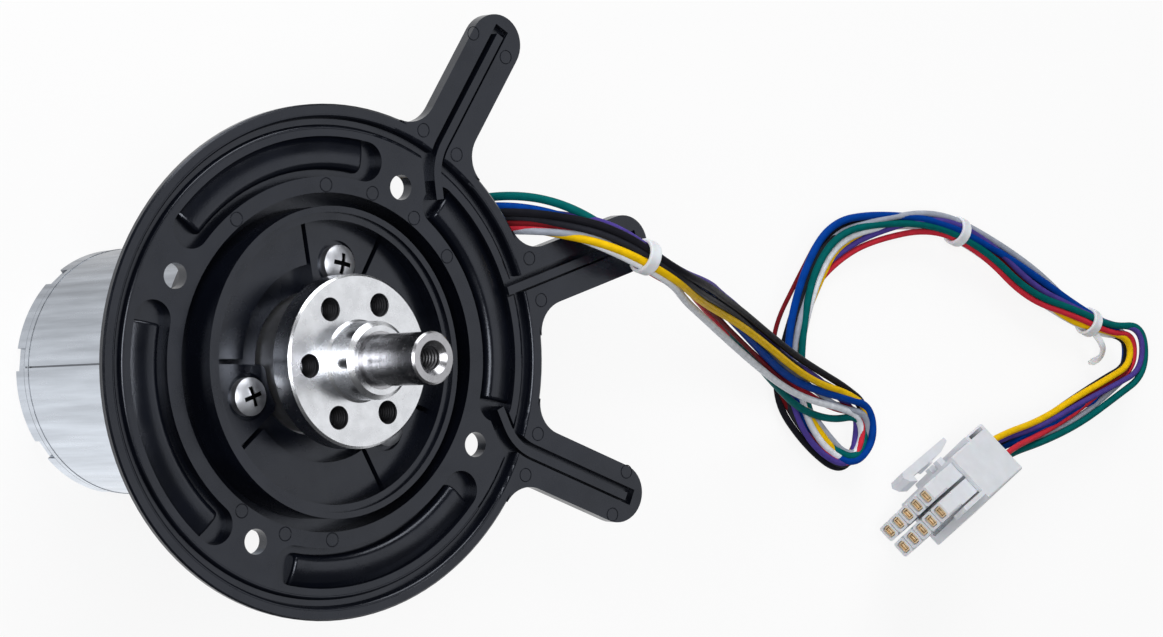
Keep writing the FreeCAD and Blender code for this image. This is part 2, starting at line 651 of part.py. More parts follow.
def rotor_shaft():
    return cylinder(MOTOR_SHAFT_R, REAR_BEARING_Z + RUNNING, FIRST_GEARS_Z + GEAR_WIDTH)


def rotor_core():
    return ring(MOTOR_SHAFT_R + SEAT, ROTOR_CORE_R, STATOR_BASE_Z, STATOR_TOP_Z)


def rotor_magnets():
    half = 180.0 / MAGNET_COUNT - MAGNET_GAP_ANGLE / 2.0
    magnet = arc_block(ROTOR_CORE_R + SEAT, MAGNET_R, STATOR_BASE_Z, STATOR_TOP_Z, half)
    return Part.makeCompound(spread(magnet, MAGNET_COUNT))


# Planet gears
def involute(angle):
    return math.tan(angle) - angle


def tooth_flank(teeth, tip_r, root_r, thinning):
    """Radii and half angles along one flank, from the root to the tip."""
    pitch_r = GEAR_MODULE * teeth / 2.0
    base_r = pitch_r * math.cos(PRESSURE_ANGLE)
    half_pitch = math.pi / (2 * teeth) - thinning / (2 * pitch_r)
    start_r = max(base_r, root_r)
    flank = []
    for step in range(FLANK_STEPS + 1):
        r = start_r + (tip_r - start_r) * step / FLANK_STEPS
        spread_in = involute(math.acos(min(1.0, base_r / r)))
        flank.append((r, half_pitch + involute(PRESSURE_ANGLE) - spread_in))
    if root_r < base_r:
        flank.insert(0, (root_r, flank[0][1]))
    return flank


def toothed(teeth, tip_r, root_r, thinning, z0, z1):
    """A solid with involute teeth, one of them centred on the X axis."""
    flank = tooth_flank(teeth, tip_r, root_r, thinning)
    corners = []
    for tooth in range(teeth):
        centre = 2 * math.pi * tooth / teeth
        sides = [(r, centre - half) for r, half in flank]
        sides += [(r, centre + half) for r, half in reversed(flank)]
        corners += [Vector(r * math.cos(angle), r * math.sin(angle), z0) for r, angle in sides]
    outline = Part.Face(Part.makePolygon(corners + corners[:1]))
    return outline.extrude(Vector(0, 0, z1 - z0))


def spur_gear(teeth, bore_r, z):
    pitch_r = GEAR_MODULE * teeth / 2.0
    gear = toothed(teeth, pitch_r + ADDENDUM * GEAR_MODULE, pitch_r - DEDENDUM * GEAR_MODULE,
                   BACKLASH, z, z + GEAR_WIDTH)
    return gear.cut(cylinder(bore_r, z, z + GEAR_WIDTH))


def ring_gear():
    pitch_r = GEAR_MODULE * RING_TEETH / 2.0
    spaces = toothed(RING_TEETH, pitch_r + DEDENDUM * GEAR_MODULE, pitch_r - ADDENDUM * GEAR_MODULE,
                     -BACKLASH, WALL_TOP_Z, RING_TOP_Z)
    return cylinder(CAN_IN_R - SEAT, WALL_TOP_Z, RING_TOP_Z).cut(spaces)


def planet(index, z):
    gear = spur_gear(PLANET_TEETH, PIN_R + PIN_CLEARANCE, z)
    gear.translate(Vector(PLANET_ORBIT, 0, 0))
    return turned(gear, 360.0 * index / PLANETS)


def planet_pins(plate_z):
    pin = cylinder(PIN_R, plate_z - GEAR_GAP - GEAR_WIDTH, plate_z + CARRIER_THICK, PLANET_ORBIT)
    return Part.makeCompound(spread(pin, PLANETS))


def carrier_disc(z):
    hole = cylinder(PIN_R + SEAT, z, z + CARRIER_THICK, PLANET_ORBIT)
    disc = cylinder(PLANET_ORBIT + 2 * PIN_R, z, z + CARRIER_THICK)
    return disc.cut(spread(hole, PLANETS))


def second_sun_gear():
    return spur_gear(SUN_TEETH, MOTOR_SHAFT_R, SECOND_SUN_Z + SEAT)


def gearbox_wall():
    wall = joined([
        cylinder(CAN_IN_R - SEAT, WALL_BASE_Z, WALL_TOP_Z),
        cylinder(MIDDLE_BEARING[1] + WALL_BOSS_WALL, MIDDLE_BEARING_Z, WALL_TOP_Z),
    ])
    return wall.cut(cylinder(MIDDLE_BEARING[1] + SEAT, MIDDLE_BEARING_Z, WALL_TOP_Z))


# Output shaft and hub
def output_shaft():
    shoulder_r = SHAFT_R + SHAFT_SHOULDER
    shaft = revolved([
        (0, OUTPUT_CARRIER_Z), (shoulder_r, OUTPUT_CARRIER_Z), (shoulder_r, LOWER_BEARING_Z),
        (SHAFT_R, LOWER_BEARING_Z), (SHAFT_R, HUB_BOSS_TOP_Z), (STUB_R, HUB_BOSS_TOP_Z),
        (STUB_R, STUB_TIP_Z - STUB_CHAMFER), (STUB_R - STUB_CHAMFER, STUB_TIP_Z), (0, STUB_TIP_Z),
    ])
    whole = joined([shaft, carrier_disc(OUTPUT_CARRIER_Z)])
    thread = cylinder(STUB_THREAD_R, STUB_TIP_Z - STUB_THREAD_DEPTH, STUB_TIP_Z)
    mouth = Part.makeCone(STUB_THREAD_R, STUB_THREAD_R + STUB_MOUTH, STUB_MOUTH,
                          Vector(0, 0, STUB_TIP_Z - STUB_MOUTH))
    base = UPPER_BEARING_TOP_Z
    groove = ring(SHAFT_R - CLIP_GROOVE_DEPTH, SHAFT_R + RUNNING, base, base + CLIP_THICK)
    return whole.cut([thread, mouth, groove])


def retaining_ring():
    base = UPPER_BEARING_TOP_Z
    clip = ring(SHAFT_R - CLIP_GROOVE_DEPTH + SEAT, SHAFT_R + CLIP_RISE, base, base + CLIP_THICK - SEAT)
    mouth = box(SHAFT_R, SHAFT_R, base, base + CLIP_THICK, SHAFT_R + CLIP_RISE)
    return clip.cut(mouth)


def hub():
    bore = SHAFT_R + SEAT
    chamfer = HUB_CHAMFER
    body = revolved([
        (bore, HUB_NECK_Z), (HUB_NECK_R, HUB_NECK_Z), (HUB_NECK_R, HUB_BASE_Z),
        (HUB_R - chamfer, HUB_BASE_Z), (HUB_R, HUB_BASE_Z + chamfer), (HUB_R, HUB_FACE_Z - chamfer),
        (HUB_R - chamfer, HUB_FACE_Z),
        (HUB_BOSS_R + chamfer, HUB_FACE_Z), (HUB_BOSS_R, HUB_FACE_Z + chamfer),
        (HUB_BOSS_R, HUB_BOSS_TOP_Z - 2 * chamfer), (HUB_BOSS_R - 2 * chamfer, HUB_BOSS_TOP_Z),
        (bore, HUB_BOSS_TOP_Z),
    ])
    hole = cylinder(HUB_BOLT_R, HUB_BASE_Z, HUB_FACE_Z, HUB_BOLT_PCD / 2.0)
    return body.cut(spread(hole, HUB_BOLT_COUNT, HUB_BOLT_FIRST_ANGLE))


# Harness
def grommet_plug(r, start_r, end_r):
    plug = Part.makeCylinder(r, end_r - start_r, Vector(start_r, 0, GROMMET_Z), Vector(1, 0, 0))
    return turned(plug, GROMMET_ANGLE)


def wire_grommet():
    inner = grommet_plug(GROMMET_R, CAN_IN_R - RUNNING, CAN_R + GROMMET_LIP)
    lip = grommet_plug(GROMMET_R + GROMMET_LIP, CAN_R + RUNNING, CAN_R + GROMMET_LIP)
    sleeve = grommet_plug(HARNESS_R + GROMMET_LIP, CAN_R, CAN_R + GROMMET_LENGTH)
    return joined([inner, lip, sleeve])


def rounded_path(points):
    """Straight runs joined by the largest tangent arcs that they take."""
    edges = []
    radii = []
    last = points[0]
    for before, corner, after in zip(points, points[1:], points[2:]):
        back = before - corner
        ahead = after - corner
        reach = BEND_SHARE * min(back.Length, ahead.Length)
        back.normalize()
        ahead.normalize()
        half_turn = (math.pi - back.getAngle(ahead)) / 2.0
        radius = reach / math.tan(half_turn)
        inside = back + ahead
        inside.normalize()
        start = corner + back * reach
        end = corner + ahead * reach
        middle = corner + inside * (radius / math.cos(half_turn) - radius)
        edges.append(Part.LineSegment(last, start).toShape())
        edges.append(Part.Arc(start, middle, end).toShape())
        radii.append(radius)
        last = end
    edges.append(Part.LineSegment(last, points[-1]).toShape())
    return Part.Wire(edges), radii


def harness_points():
    """The route, with a straight first run out of the grommet and a straight last one into the plug."""
    exit_r = CAN_R + GROMMET_LENGTH
    leaving = [polar(r, GROMMET_ANGLE, GROMMET_Z) for r in (exit_r, exit_r + GROMMET_LEAD)]
    return leaving + HARNESS_ROUTE + [PLUG_REAR - PLUG_FORWARD * PLUG_LEAD, PLUG_REAR]


def harness():
    path, radii = rounded_path(harness_points())
    points = harness_points()
    circle = Part.Wire([Part.makeCircle(HARNESS_R, points[0], points[1] - points[0])])
    tube = path.makePipeShell([circle], True, False)
    print("bend radii", [round(radius, 1) for radius in radii])
    print("length", round(path.Length, 1), "volume over section times length",
          round(tube.Volume / (math.pi * HARNESS_R ** 2 * path.Length), 4))
    return tube


def cable_tie(run):
    """A strap round the bundle in the middle of one run, with its lock head on top."""
    start, end = harness_points()[run], harness_points()[run + 1]
    inner = HARNESS_R + TIE_CLEARANCE
    strap = ring(inner, inner + TIE_THICK, -TIE_WIDTH / 2.0, TIE_WIDTH / 2.0)
    length, width, height = TIE_HEAD
    head = box(height, width, -length / 2.0, length / 2.0, inner + height / 2.0)
    tie = joined([strap, head.cut(cylinder(inner, -length, length))])
    along = end - start
    side = along.cross(UP)
    side.normalize()
    up = side.cross(along)
    up.normalize()
    frame = FreeCAD.Rotation(up, side.negative(), along, "ZXY")
    tie.Placement = FreeCAD.Placement((start + end) * 0.5, frame)
    return tie


# Plug, in its own frame: X forward, Y along the rows, Z across them
def plug_placed(shape):
    placed = shape.copy()
    rotation = FreeCAD.Rotation(PLUG_FORWARD, PLUG_ROW, PLUG_FORWARD.cross(PLUG_ROW), "XYZ")
    placed.Placement = FreeCAD.Placement(PLUG_REAR, rotation)
    return placed


def plug_sites():
    columns = [PIN_PITCH * (column - (PLUG_COLUMNS - 1) / 2.0) for column in range(PLUG_COLUMNS)]
    return [(y, row * ROW_PITCH / 2.0) for row in (-1, 1) for y in columns]


def plug_box(x0, x1, y0, y1, z0, z1):
    return Part.makeBox(x1 - x0, y1 - y0, z1 - z0, Vector(x0, y0, z0))


def pin_box(x0, x1, y, z, width, height):
    """A box round one pin's axis."""
    return plug_box(x0, x1, y - width / 2.0, y + width / 2.0, z - height / 2.0, z + height / 2.0)


def plug_block():
    """Body with a raised collar at the rear and a pocket at the front, open to the blades."""
    half = PLUG_BLOCK_WIDTH / 2.0
    wall = PLUG_WALL
    body = plug_box(0, PLUG_BLOCK_LENGTH, -half, half, -PLUG_LATCH_SIDE, PLUG_FAR_SIDE)
    collar_side = -PLUG_LATCH_SIDE - PLUG_COLLAR_RISE
    collar = plug_box(0, PLUG_COLLAR_LENGTH, -half, half, collar_side, PLUG_FAR_SIDE)
    block = joined([body, collar])
    along = edges_along_x(block)
    block = block.makeFillet(PLUG_EDGE, along)
    pocket = plug_box(PLUG_BLOCK_LENGTH - PLUG_POCKET_DEPTH, PLUG_BLOCK_LENGTH, wall - half, half - wall,
                      wall - PLUG_LATCH_SIDE, PLUG_FAR_SIDE - 2 * wall)
    slot_length, slot_height = PLUG_SLOT
    slot = plug_box(wall, wall + slot_length, -half, half, -PLUG_LATCH_SIDE - slot_height, -PLUG_LATCH_SIDE)
    return block.cut([pocket, slot])


def plug_blade(row):
    width, height = SILO_SIZE
    half = (PIN_PITCH * (PLUG_COLUMNS - 1) + width) / 2.0
    base = (row * ROW_PITCH - height) / 2.0
    start = PLUG_BLOCK_LENGTH - PLUG_POCKET_DEPTH
    end = PLUG_BLOCK_LENGTH + PLUG_BLADE_LENGTH
    return plug_box(start, end, -half, half, base, base + height)


def plug_guard():
    """Keying rib beside the lower blade."""
    length, width, thick = PLUG_GUARD
    half = PLUG_BLOCK_WIDTH / 2.0
    z = (ROW_PITCH + SILO_SIZE[1] + thick) / 2.0
    start = PLUG_BLOCK_LENGTH - PLUG_POCKET_DEPTH
    return plug_box(start, PLUG_BLOCK_LENGTH + length, -half, width - half, z, z + thick)


def silo(y, z):
    start = PLUG_BLOCK_LENGTH + PLUG_BLADE_LENGTH
    width, height = SILO_SIZE
    tower = pin_box(start, start + SILO_LENGTH, y, z, width, height)
    along = edges_along_x(tower)
    return tower.makeChamfer(SILO_EDGE, along)


def plug_housing():
    pieces = [plug_block(), plug_blade(-1), plug_blade(1), plug_guard()]
    pieces += [silo(y, z) for y, z in plug_sites()]
    half = LATCH_WIDTH / 2.0
    base = -PLUG_LATCH_SIDE
    tip = base - LATCH_GAP + LATCH_BEAD_R + LATCH_CLEARANCE
    for y in (-half, half - LATCH_LEG):
        pieces.append(plug_box(LATCH_PIVOT - LATCH_THICK, LATCH_PIVOT, y, y + LATCH_LEG, tip, base))
    width, height = SILO_HOLE
    end = PLUG_BLOCK_LENGTH + PLUG_BLADE_LENGTH + SILO_LENGTH
    holes = []
    for y, z in plug_sites():
        hole = pin_box(PLUG_BLOCK_LENGTH, end, y, z, width, height)
        holes.append(hole.makeChamfer(SILO_EDGE, edges_along_x(hole)))
    return plug_placed(joined(pieces).cut(holes))


def plug_terminals():
    """Ten crimped sockets, open at the front."""
    start = PLUG_BLOCK_LENGTH
    end = start + PLUG_BLADE_LENGTH + SILO_LENGTH - TERMINAL_SETBACK
    width, height = TERMINAL_SIZE
    wall = 2 * TERMINAL_WALL
    pins = []
    for y, z in plug_sites():
        pin = pin_box(start, end, y, z, width, height)
        pin = pin.makeChamfer(TERMINAL_WALL, edges_along_x(pin))
        bore = pin_box((start + end) / 2.0, end, y, z, width - wall, height - wall)
        pins.append(pin.cut(bore))
    return plug_placed(Part.makeCompound(pins))


def plug_latch():
    """Lever with a hook at its front, on a round bead that rocks over the housing's two legs."""
    top = -PLUG_LATCH_SIDE - LATCH_GAP
    edge = LATCH_THICK / 2.0
    outline = [
        Vector(LATCH_REAR, 0, top - LATCH_THICK), Vector(LATCH_REAR, 0, top - edge),
        Vector(LATCH_REAR + 2 * LATCH_THICK, 0, top), Vector(LATCH_FRONT - LATCH_THICK, 0, top),
        Vector(LATCH_FRONT - LATCH_THICK, 0, top + LATCH_HOOK),
        Vector(LATCH_FRONT, 0, top + LATCH_HOOK - edge),
        Vector(LATCH_FRONT + edge, 0, top - edge), Vector(LATCH_FRONT, 0, top - LATCH_THICK),
    ]
    face = Part.Face(Part.makePolygon(outline + outline[:1]))
    lever = face.extrude(Vector(0, LATCH_WIDTH, 0))
    bead = Part.makeCylinder(LATCH_BEAD_R, LATCH_WIDTH, Vector(LATCH_PIVOT - edge, 0, top), Vector(0, 1, 0))
    lever = joined([lever, bead])
    lever.translate(Vector(0, -LATCH_WIDTH / 2.0, 0))
    return plug_placed(lever)


def all_parts():
    parts = {
        "flange_plate": flange_plate(),
        "motor_can": motor_can(),
        "rear_end_cap": rear_end_cap(),
        "front_end_bell": front_end_bell(),
        "mounting_screws": mounting_screws(),
        "stator_core": stator_core(),
        "stator_windings": stator_windings(),
        "hall_sensor_board": hall_sensor_board(),
        "gearbox_wall": gearbox_wall(),
        "ring_gear": ring_gear(),
        "rotor_shaft": rotor_shaft(),
        "rotor_core": rotor_core(),
        "rotor_magnets": rotor_magnets(),
        "first_sun_gear": spur_gear(SUN_TEETH, MOTOR_SHAFT_R + SEAT, FIRST_GEARS_Z),
        "first_carrier": carrier_disc(FIRST_CARRIER_Z),
        "first_planet_pins": planet_pins(FIRST_CARRIER_Z),
        "second_sun_gear": second_sun_gear(),
        "output_shaft": output_shaft(),
        "second_planet_pins": planet_pins(OUTPUT_CARRIER_Z),
        "retaining_ring": retaining_ring(),
        "hub": hub(),
        "wire_grommet": wire_grommet(),
        "harness": harness(),
        "plug_housing": plug_housing(),
        "plug_terminals": plug_terminals(),
        "plug_latch": plug_latch(),
    }
    bearings = {
        "rear_bearing": (REAR_BEARING, REAR_BEARING_Z),
        "middle_bearing": (MIDDLE_BEARING, MIDDLE_BEARING_Z),
        "lower_output_bearing": (OUTPUT_BEARING, LOWER_BEARING_Z),
        "upper_output_bearing": (OUTPUT_BEARING, UPPER_BEARING_Z),
    }
    for name, (bearing, z) in bearings.items():
        parts[name + "_outer"] = outer_race(bearing, z)
        parts[name + "_inner"] = inner_race(bearing, z)
    for index, letter in enumerate("abc"):
        parts["first_planet_" + letter] = planet(index, FIRST_GEARS_Z)
        parts["second_planet_" + letter] = planet(index, SECOND_GEARS_Z)
    for number, run in enumerate(TIE_RUNS, 1):
        parts["cable_tie_%d" % number] = cable_tie(run)
    return parts


os.makedirs("parts", exist_ok=True)
for name, shape in all_parts().items():
    shape.exportStep("parts/" + name + ".step")
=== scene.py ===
import json
import math

import bmesh
import bpy
from mathutils import Matrix, Vector


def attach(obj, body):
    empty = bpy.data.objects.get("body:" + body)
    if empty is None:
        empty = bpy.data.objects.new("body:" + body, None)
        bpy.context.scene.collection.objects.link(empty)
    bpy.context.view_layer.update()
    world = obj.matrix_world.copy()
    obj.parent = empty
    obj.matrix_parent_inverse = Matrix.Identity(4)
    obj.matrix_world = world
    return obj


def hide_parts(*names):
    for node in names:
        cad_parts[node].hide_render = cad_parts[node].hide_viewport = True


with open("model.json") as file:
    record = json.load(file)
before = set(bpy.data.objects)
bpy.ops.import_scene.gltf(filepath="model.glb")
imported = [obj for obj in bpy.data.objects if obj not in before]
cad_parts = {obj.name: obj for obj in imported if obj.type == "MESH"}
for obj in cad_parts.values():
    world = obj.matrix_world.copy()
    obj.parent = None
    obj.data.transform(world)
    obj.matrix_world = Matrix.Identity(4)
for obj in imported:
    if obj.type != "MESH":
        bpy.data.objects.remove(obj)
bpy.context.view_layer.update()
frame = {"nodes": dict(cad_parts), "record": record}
NODES = frame["nodes"]
MM = 0.001
UP = Vector((0, 0, 1))

# Camera, solved from the photograph: place in millimetres, viewing direction, up direction
CAMERA_PLACE = Vector((-491.4, 154.8, 742.4))
CAMERA_AHEAD = Vector((0.633, -0.1908, -0.7503))
CAMERA_UP = Vector((0.3263, 0.9446, 0.0352))
CAMERA_FOCAL_PX = 4000.0
CAMERA_CLIP = (0.05, 20.0)
PHOTO_WIDTH_PX = 1163.0
SENSOR_WIDTH = 36.0


def put(name, data):
    """A new object, linked into the scene."""
    thing = bpy.data.objects.new(name, data)
    bpy.context.scene.collection.objects.link(thing)
    return thing


def polar(radius, angle, height=0.0):
    """A point round the Z axis, by its radius, its angle in radians and its height."""
    return Vector((radius * math.cos(angle), radius * math.sin(angle), height))


def full_turn(count):
    """Angles that divide a full turn."""
    return [2.0 * math.pi * j / count for j in range(count)]


def add_camera():
    ahead = CAMERA_AHEAD.normalized()
    side = ahead.cross(CAMERA_UP).normalized()
    turn = Matrix((side, side.cross(ahead), -ahead)).transposed()
    data = bpy.data.cameras.new("photo_camera")
    data.sensor_width = SENSOR_WIDTH
    data.lens = SENSOR_WIDTH * CAMERA_FOCAL_PX / PHOTO_WIDTH_PX
    data.clip_start, data.clip_end = CAMERA_CLIP
    camera = put("photo_camera", data)
    camera.matrix_world = Matrix.Translation(CAMERA_PLACE * MM) @ turn.to_4x4()
    bpy.context.scene.camera = camera


# Node materials. Noise mostly lies in a middle range, over which tint and gloss go from end to end.
# The period is how far apart a wave texture's marks are at a scale of 1
NOISE_RANGE = (0.3, 0.7)
NOISE_ROUGHNESS = 0.55
SLOPE_RANGE = (0.25, 0.75)
WAVE_PERIOD = math.pi / 10.0
WAVE_DETAIL = 1.0
FLAT = (1, 1, 0)


class Paint:
    """One principled shader, with helpers that add texture to its sockets. Lengths are in metres."""

    def __init__(self, name, color, roughness, **sockets):
        self.material = bpy.data.materials.new(name)
        self.material.use_nodes = True
        self.nodes = self.material.node_tree.nodes
        self.links = self.material.node_tree.links
        self.shader = self.nodes["Principled BSDF"]
        self.color = color
        self.roughness = roughness
        self.set("Base Color", (*color, 1.0))
        self.set("Roughness", roughness)
        for socket, value in sockets.items():
            self.set(socket.replace("_", " ").title().replace("Ior", "IOR"), value)
        self.place = self.node("TexCoord").outputs["Object"]

    def set(self, socket, value):
        self.shader.inputs[socket].default_value = value

    def feed(self, source, socket):
        self.links.new(source, self.shader.inputs[socket])

    def node(self, kind, inputs=None, **settings):
        """A new node with its settings, and its inputs set to values or linked to other sockets."""
        node = self.nodes.new("ShaderNode" + kind)
        for setting, value in settings.items():
            setattr(node, setting, value)
        for socket, value in (inputs or {}).items():
            if isinstance(value, bpy.types.NodeSocket):
                self.links.new(value, node.inputs[socket])
            else:
                node.inputs[socket].default_value = value
        return node

    # Factors
    def stretched(self, scale):
        return self.node("Mapping", {"Vector": self.place, "Scale": scale}).outputs["Vector"]

    def noise(self, scale, detail=3.0, stretch=(1, 1, 1)):
        return self.node("TexNoise", {
            "Vector": self.stretched(stretch), "Scale": scale, "Detail": detail,
            "Roughness": NOISE_ROUGHNESS}).outputs["Fac"]

    def marks(self, kind, spacing, distortion):
        """Turning marks, as RINGS round the Z axis or BANDS along it, a distance apart."""
        return self.node("TexWave", {
            "Vector": self.place, "Scale": WAVE_PERIOD / spacing, "Distortion": distortion,
            "Detail": WAVE_DETAIL,
        }, wave_type=kind, rings_direction="Z", bands_direction="Z").outputs["Fac"]

    def height(self):
        return self.node("SeparateXYZ", {"Vector": self.place}).outputs["Z"]

    def across(self, direction, reach):
        """A factor that rises along a direction, over a reach to both sides of the origin."""
        along = self.node("VectorMath", {0: self.place, 1: direction}, operation="DOT_PRODUCT")
        return self.ranged(along.outputs["Value"], *SLOPE_RANGE, -reach, reach)

    def ranged(self, factor, low, high, start, end):
        """A factor's range from start to end, as one from low to high."""
        return self.node("MapRange", {
            "Value": factor, "From Min": start, "From Max": end, "To Min": low, "To Max": high,
        }).outputs["Result"]

    def math(self, operation, first, second):
        return self.node("Math", {0: first, 1: second}, operation=operation).outputs["Value"]

    def mixed(self, first, second, share):
        """A factor that takes a share from the second factor."""
        return self.math("ADD", self.math("MULTIPLY", first, 1.0 - share),
                         self.math("MULTIPLY", second, share))

    def between(self, factor, low, high):
        """A factor of 1 between two limits, and 0 outside them."""
        return self.math("MULTIPLY", self.math("GREATER_THAN", factor, low),
                         self.math("LESS_THAN", factor, high))

    # What the factors do to the shader
    def tint(self, factor, dark, light):
        """Colour between two multiples of the paint's own colour."""
        ramp = self.node("ValToRGB", {"Fac": factor})
        for stop, position, shade in zip(ramp.color_ramp.elements, NOISE_RANGE, (dark, light)):
            stop.position = position
            stop.color = (*[min(1.0, c * shade) for c in self.color], 1.0)
        self.feed(ramp.outputs["Color"], "Base Color")

    def sheen_spread(self, factor, spread):
        """Roughness that varies by a spread to both sides."""
        low, high = self.roughness - spread, self.roughness + spread
        self.feed(self.ranged(factor, low, high, *NOISE_RANGE), "Roughness")

    def bump(self, factor, depth):
        node = self.node("Bump", {"Height": factor, "Distance": depth, "Strength": 1.0})
        self.feed(node.outputs["Normal"], "Normal")

    def turned_grain(self, amount):
        """Anisotropic gloss that follows the turning direction."""
        tangent = self.node("Tangent", direction_type="RADIAL", axis="Z")
        self.set("Anisotropic", amount)
        self.feed(tangent.outputs["Tangent"], "Tangent")

    def shade(self, factor, dark):
        """Painted shade: a dark colour mixed into the tint that is there already."""
        tint = self.shader.inputs["Base Color"].links[0].from_socket
        mix = self.node("MixRGB", {"Fac": factor, "Color1": tint, "Color2": (*dark, 1.0)})
        self.feed(mix.outputs["Color"], "Base Color")

    def recess_shade(self, axes, radius, top, dark):
        """Painted shade: a dark colour below a height and near one of a few upright axes."""
        flat = self.stretched(FLAT)
        reaches = [self.node("VectorMath", {0: flat, 1: axis}, operation="DISTANCE").outputs["Value"]
                   for axis in axes]
        nearest = reaches[0]
        for reach in reaches[1:]:
            nearest = self.math("MINIMUM", nearest, reach)
        inside = self.math("LESS_THAN", nearest, radius)
        below = self.math("LESS_THAN", self.height(), top)
        self.shade(self.math("MULTIPLY", inside, below), dark)

    def ring_shade(self, inner, outer, dark):
        """Painted shade: a dark colour between two radii round the Z axis."""
        radius = self.node("VectorMath", {0: self.stretched(FLAT)}, operation="LENGTH").outputs["Value"]
        self.shade(self.between(radius, inner, outer), dark)

    def height_shade(self, low, high, dark):
        """Painted shade: a dark colour between two heights."""
        self.shade(self.between(self.height(), low, high), dark)

    def white_to_viewers(self, share):
        """Plain white mixed in for what the camera, metal and clear pieces see. The shadow stays."""
        path = self.node("LightPath").outputs
        seen = path["Is Camera Ray"]
        for kind in ("Is Glossy Ray", "Is Transmission Ray"):
            seen = self.math("MAXIMUM", seen, path[kind])
        mix = self.node("MixShader", {
            "Fac": self.math("MULTIPLY", seen, share),
            1: self.shader.outputs["BSDF"], 2: self.node("Emission").outputs["Emission"]})
        self.links.new(mix.outputs["Shader"], self.nodes["Material Output"].inputs["Surface"])


# Cross recesses of the bowl's screws, and the painted shade that darkens them, in metres
SCREW_AXES = [polar(0.0212, math.radians(a)) for a in (60, 180, 300)]
SCREW_RECESS_R = 0.0024
SCREW_RECESS_Z = 0.07695
SCREW_RECESS_SHADE_COLOR = (0.008, 0.008, 0.009)

# The can's tone across its axis, painted shade that darkens it towards one side; the radii between
# which only the floor of its seam lies, painted dark as shade in the groove; and the heights between
# which its joint with the end cap lies, painted dark as shade in the joint, in metres
CAN_PAINTED_SHADE_SIDE = (0.326, 0.945, 0.0)
CAN_REACH = 0.027
CAN_SEAM_R = (0.0266, 0.0272)
CAN_SEAM_SHADE_COLOR = (0.15, 0.16, 0.18)
CAN_JOINT_Z = (0.0030, 0.00318)
CAN_JOINT_SHADE_COLOR = (0.26, 0.28, 0.32)


def textured(name, color, roughness, mottle, grain, **sockets):
    """A paint with mottled colour and a fine grain: noise scale, darkest and lightest shade, and
    noise scale and depth."""
    paint = Paint(name, color, roughness, **sockets)
    scale, dark, light = mottle
    paint.tint(paint.noise(scale), dark, light)
    scale, depth = grain
    paint.bump(paint.noise(scale), depth)
    return paint


def layered(name, color, roughness, mottle_scale, spacing, distortion, depth):
    """Metal in layers along the Z axis, such as laminations and turns of wire."""
    paint = Paint(name, color, roughness, metallic=1.0)
    paint.tint(paint.noise(mottle_scale), dark=0.8, light=1.15)
    paint.bump(paint.marks("BANDS", spacing, distortion), depth)
    return paint


def moulded_black():
    paint = Paint("moulded_black", (0.0030, 0.0038, 0.0070), 0.25,
                  specular_tint=(0.83, 0.88, 1.0, 1.0))
    paint.tint(paint.noise(70.0, detail=5.0), dark=0.75, light=1.35)
    paint.sheen_spread(paint.noise(150.0, detail=5.0), 0.05)
    paint.bump(paint.noise(2600.0, detail=2.0), depth=0.000018)
    return paint


def rolled_zinc():
    paint = Paint("rolled_zinc", (0.57, 0.61, 0.68), 0.30, metallic=1.0)
    # Painted shade: the can grows darker towards one side across its axis
    painted_shade_slope = paint.across(CAN_PAINTED_SHADE_SIDE, CAN_REACH)
    streaks = paint.noise(1.0, detail=4.0, stretch=(420, 420, 25))
    paint.tint(paint.mixed(painted_shade_slope, streaks, share=0.3), 1.5, 0.38)
    # Painted shade in the floor of the seam's groove and along the joint with the end cap
    paint.ring_shade(*CAN_SEAM_R, CAN_SEAM_SHADE_COLOR)
    paint.height_shade(*CAN_JOINT_Z, CAN_JOINT_SHADE_COLOR)
    paint.sheen_spread(paint.noise(1.0, stretch=(500, 500, 90)), 0.05)
    paint.bump(paint.noise(1.0, stretch=(2600, 2600, 160)), depth=0.000004)
    paint.turned_grain(0.35)
    return paint


def bright_zinc():
    paint = textured("bright_zinc", (0.70, 0.72, 0.77), 0.44, (500.0, 0.88, 1.08),
                     (1800.0, 0.000006), metallic=1.0)
    paint.sheen_spread(paint.noise(900.0), 0.06)
    # Painted shade: the screws' cross recesses are darkened near their axes and below the recess tops
    paint.recess_shade(SCREW_AXES, SCREW_RECESS_R, SCREW_RECESS_Z, SCREW_RECESS_SHADE_COLOR)
    return paint


def ground_steel(name, color, roughness):
    paint = textured(name, color, roughness, (350.0, 0.86, 1.08), (2400.0, 0.000004), metallic=1.0)
    paint.sheen_spread(paint.noise(800.0), 0.05)
    return paint


def turned_steel():
    paint = Paint("turned_steel", (0.40, 0.40, 0.42), 0.24, metallic=1.0)
    paint.tint(paint.noise(1.0, detail=4.0, stretch=(60, 60, 900)), dark=0.82, light=1.12)
    paint.sheen_spread(paint.noise(700.0), 0.05)
    paint.bump(paint.marks("BANDS", spacing=0.0002, distortion=0.8), depth=0.000003)
    paint.turned_grain(0.45)
    return paint


def turned_aluminium():
    paint = Paint("turned_aluminium", (0.70, 0.715, 0.745), 0.26, metallic=1.0)
    paint.tint(paint.noise(380.0), dark=0.93, light=1.04)
    paint.sheen_spread(paint.noise(260.0, detail=4.0), 0.05)
    paint.bump(paint.marks("RINGS", spacing=0.00022, distortion=0.5), depth=0.0000025)
    paint.turned_grain(0.55)
    return paint


def natural_nylon(name, color, roughness):
    paint = Paint(name, color, roughness, subsurface_weight=0.15, subsurface_scale=0.0012)
    paint.tint(paint.noise(240.0), dark=0.95, light=1.03)
    paint.sheen_spread(paint.noise(500.0), 0.05)
    paint.bump(paint.noise(2200.0, detail=2.0), depth=0.000008)
    return paint


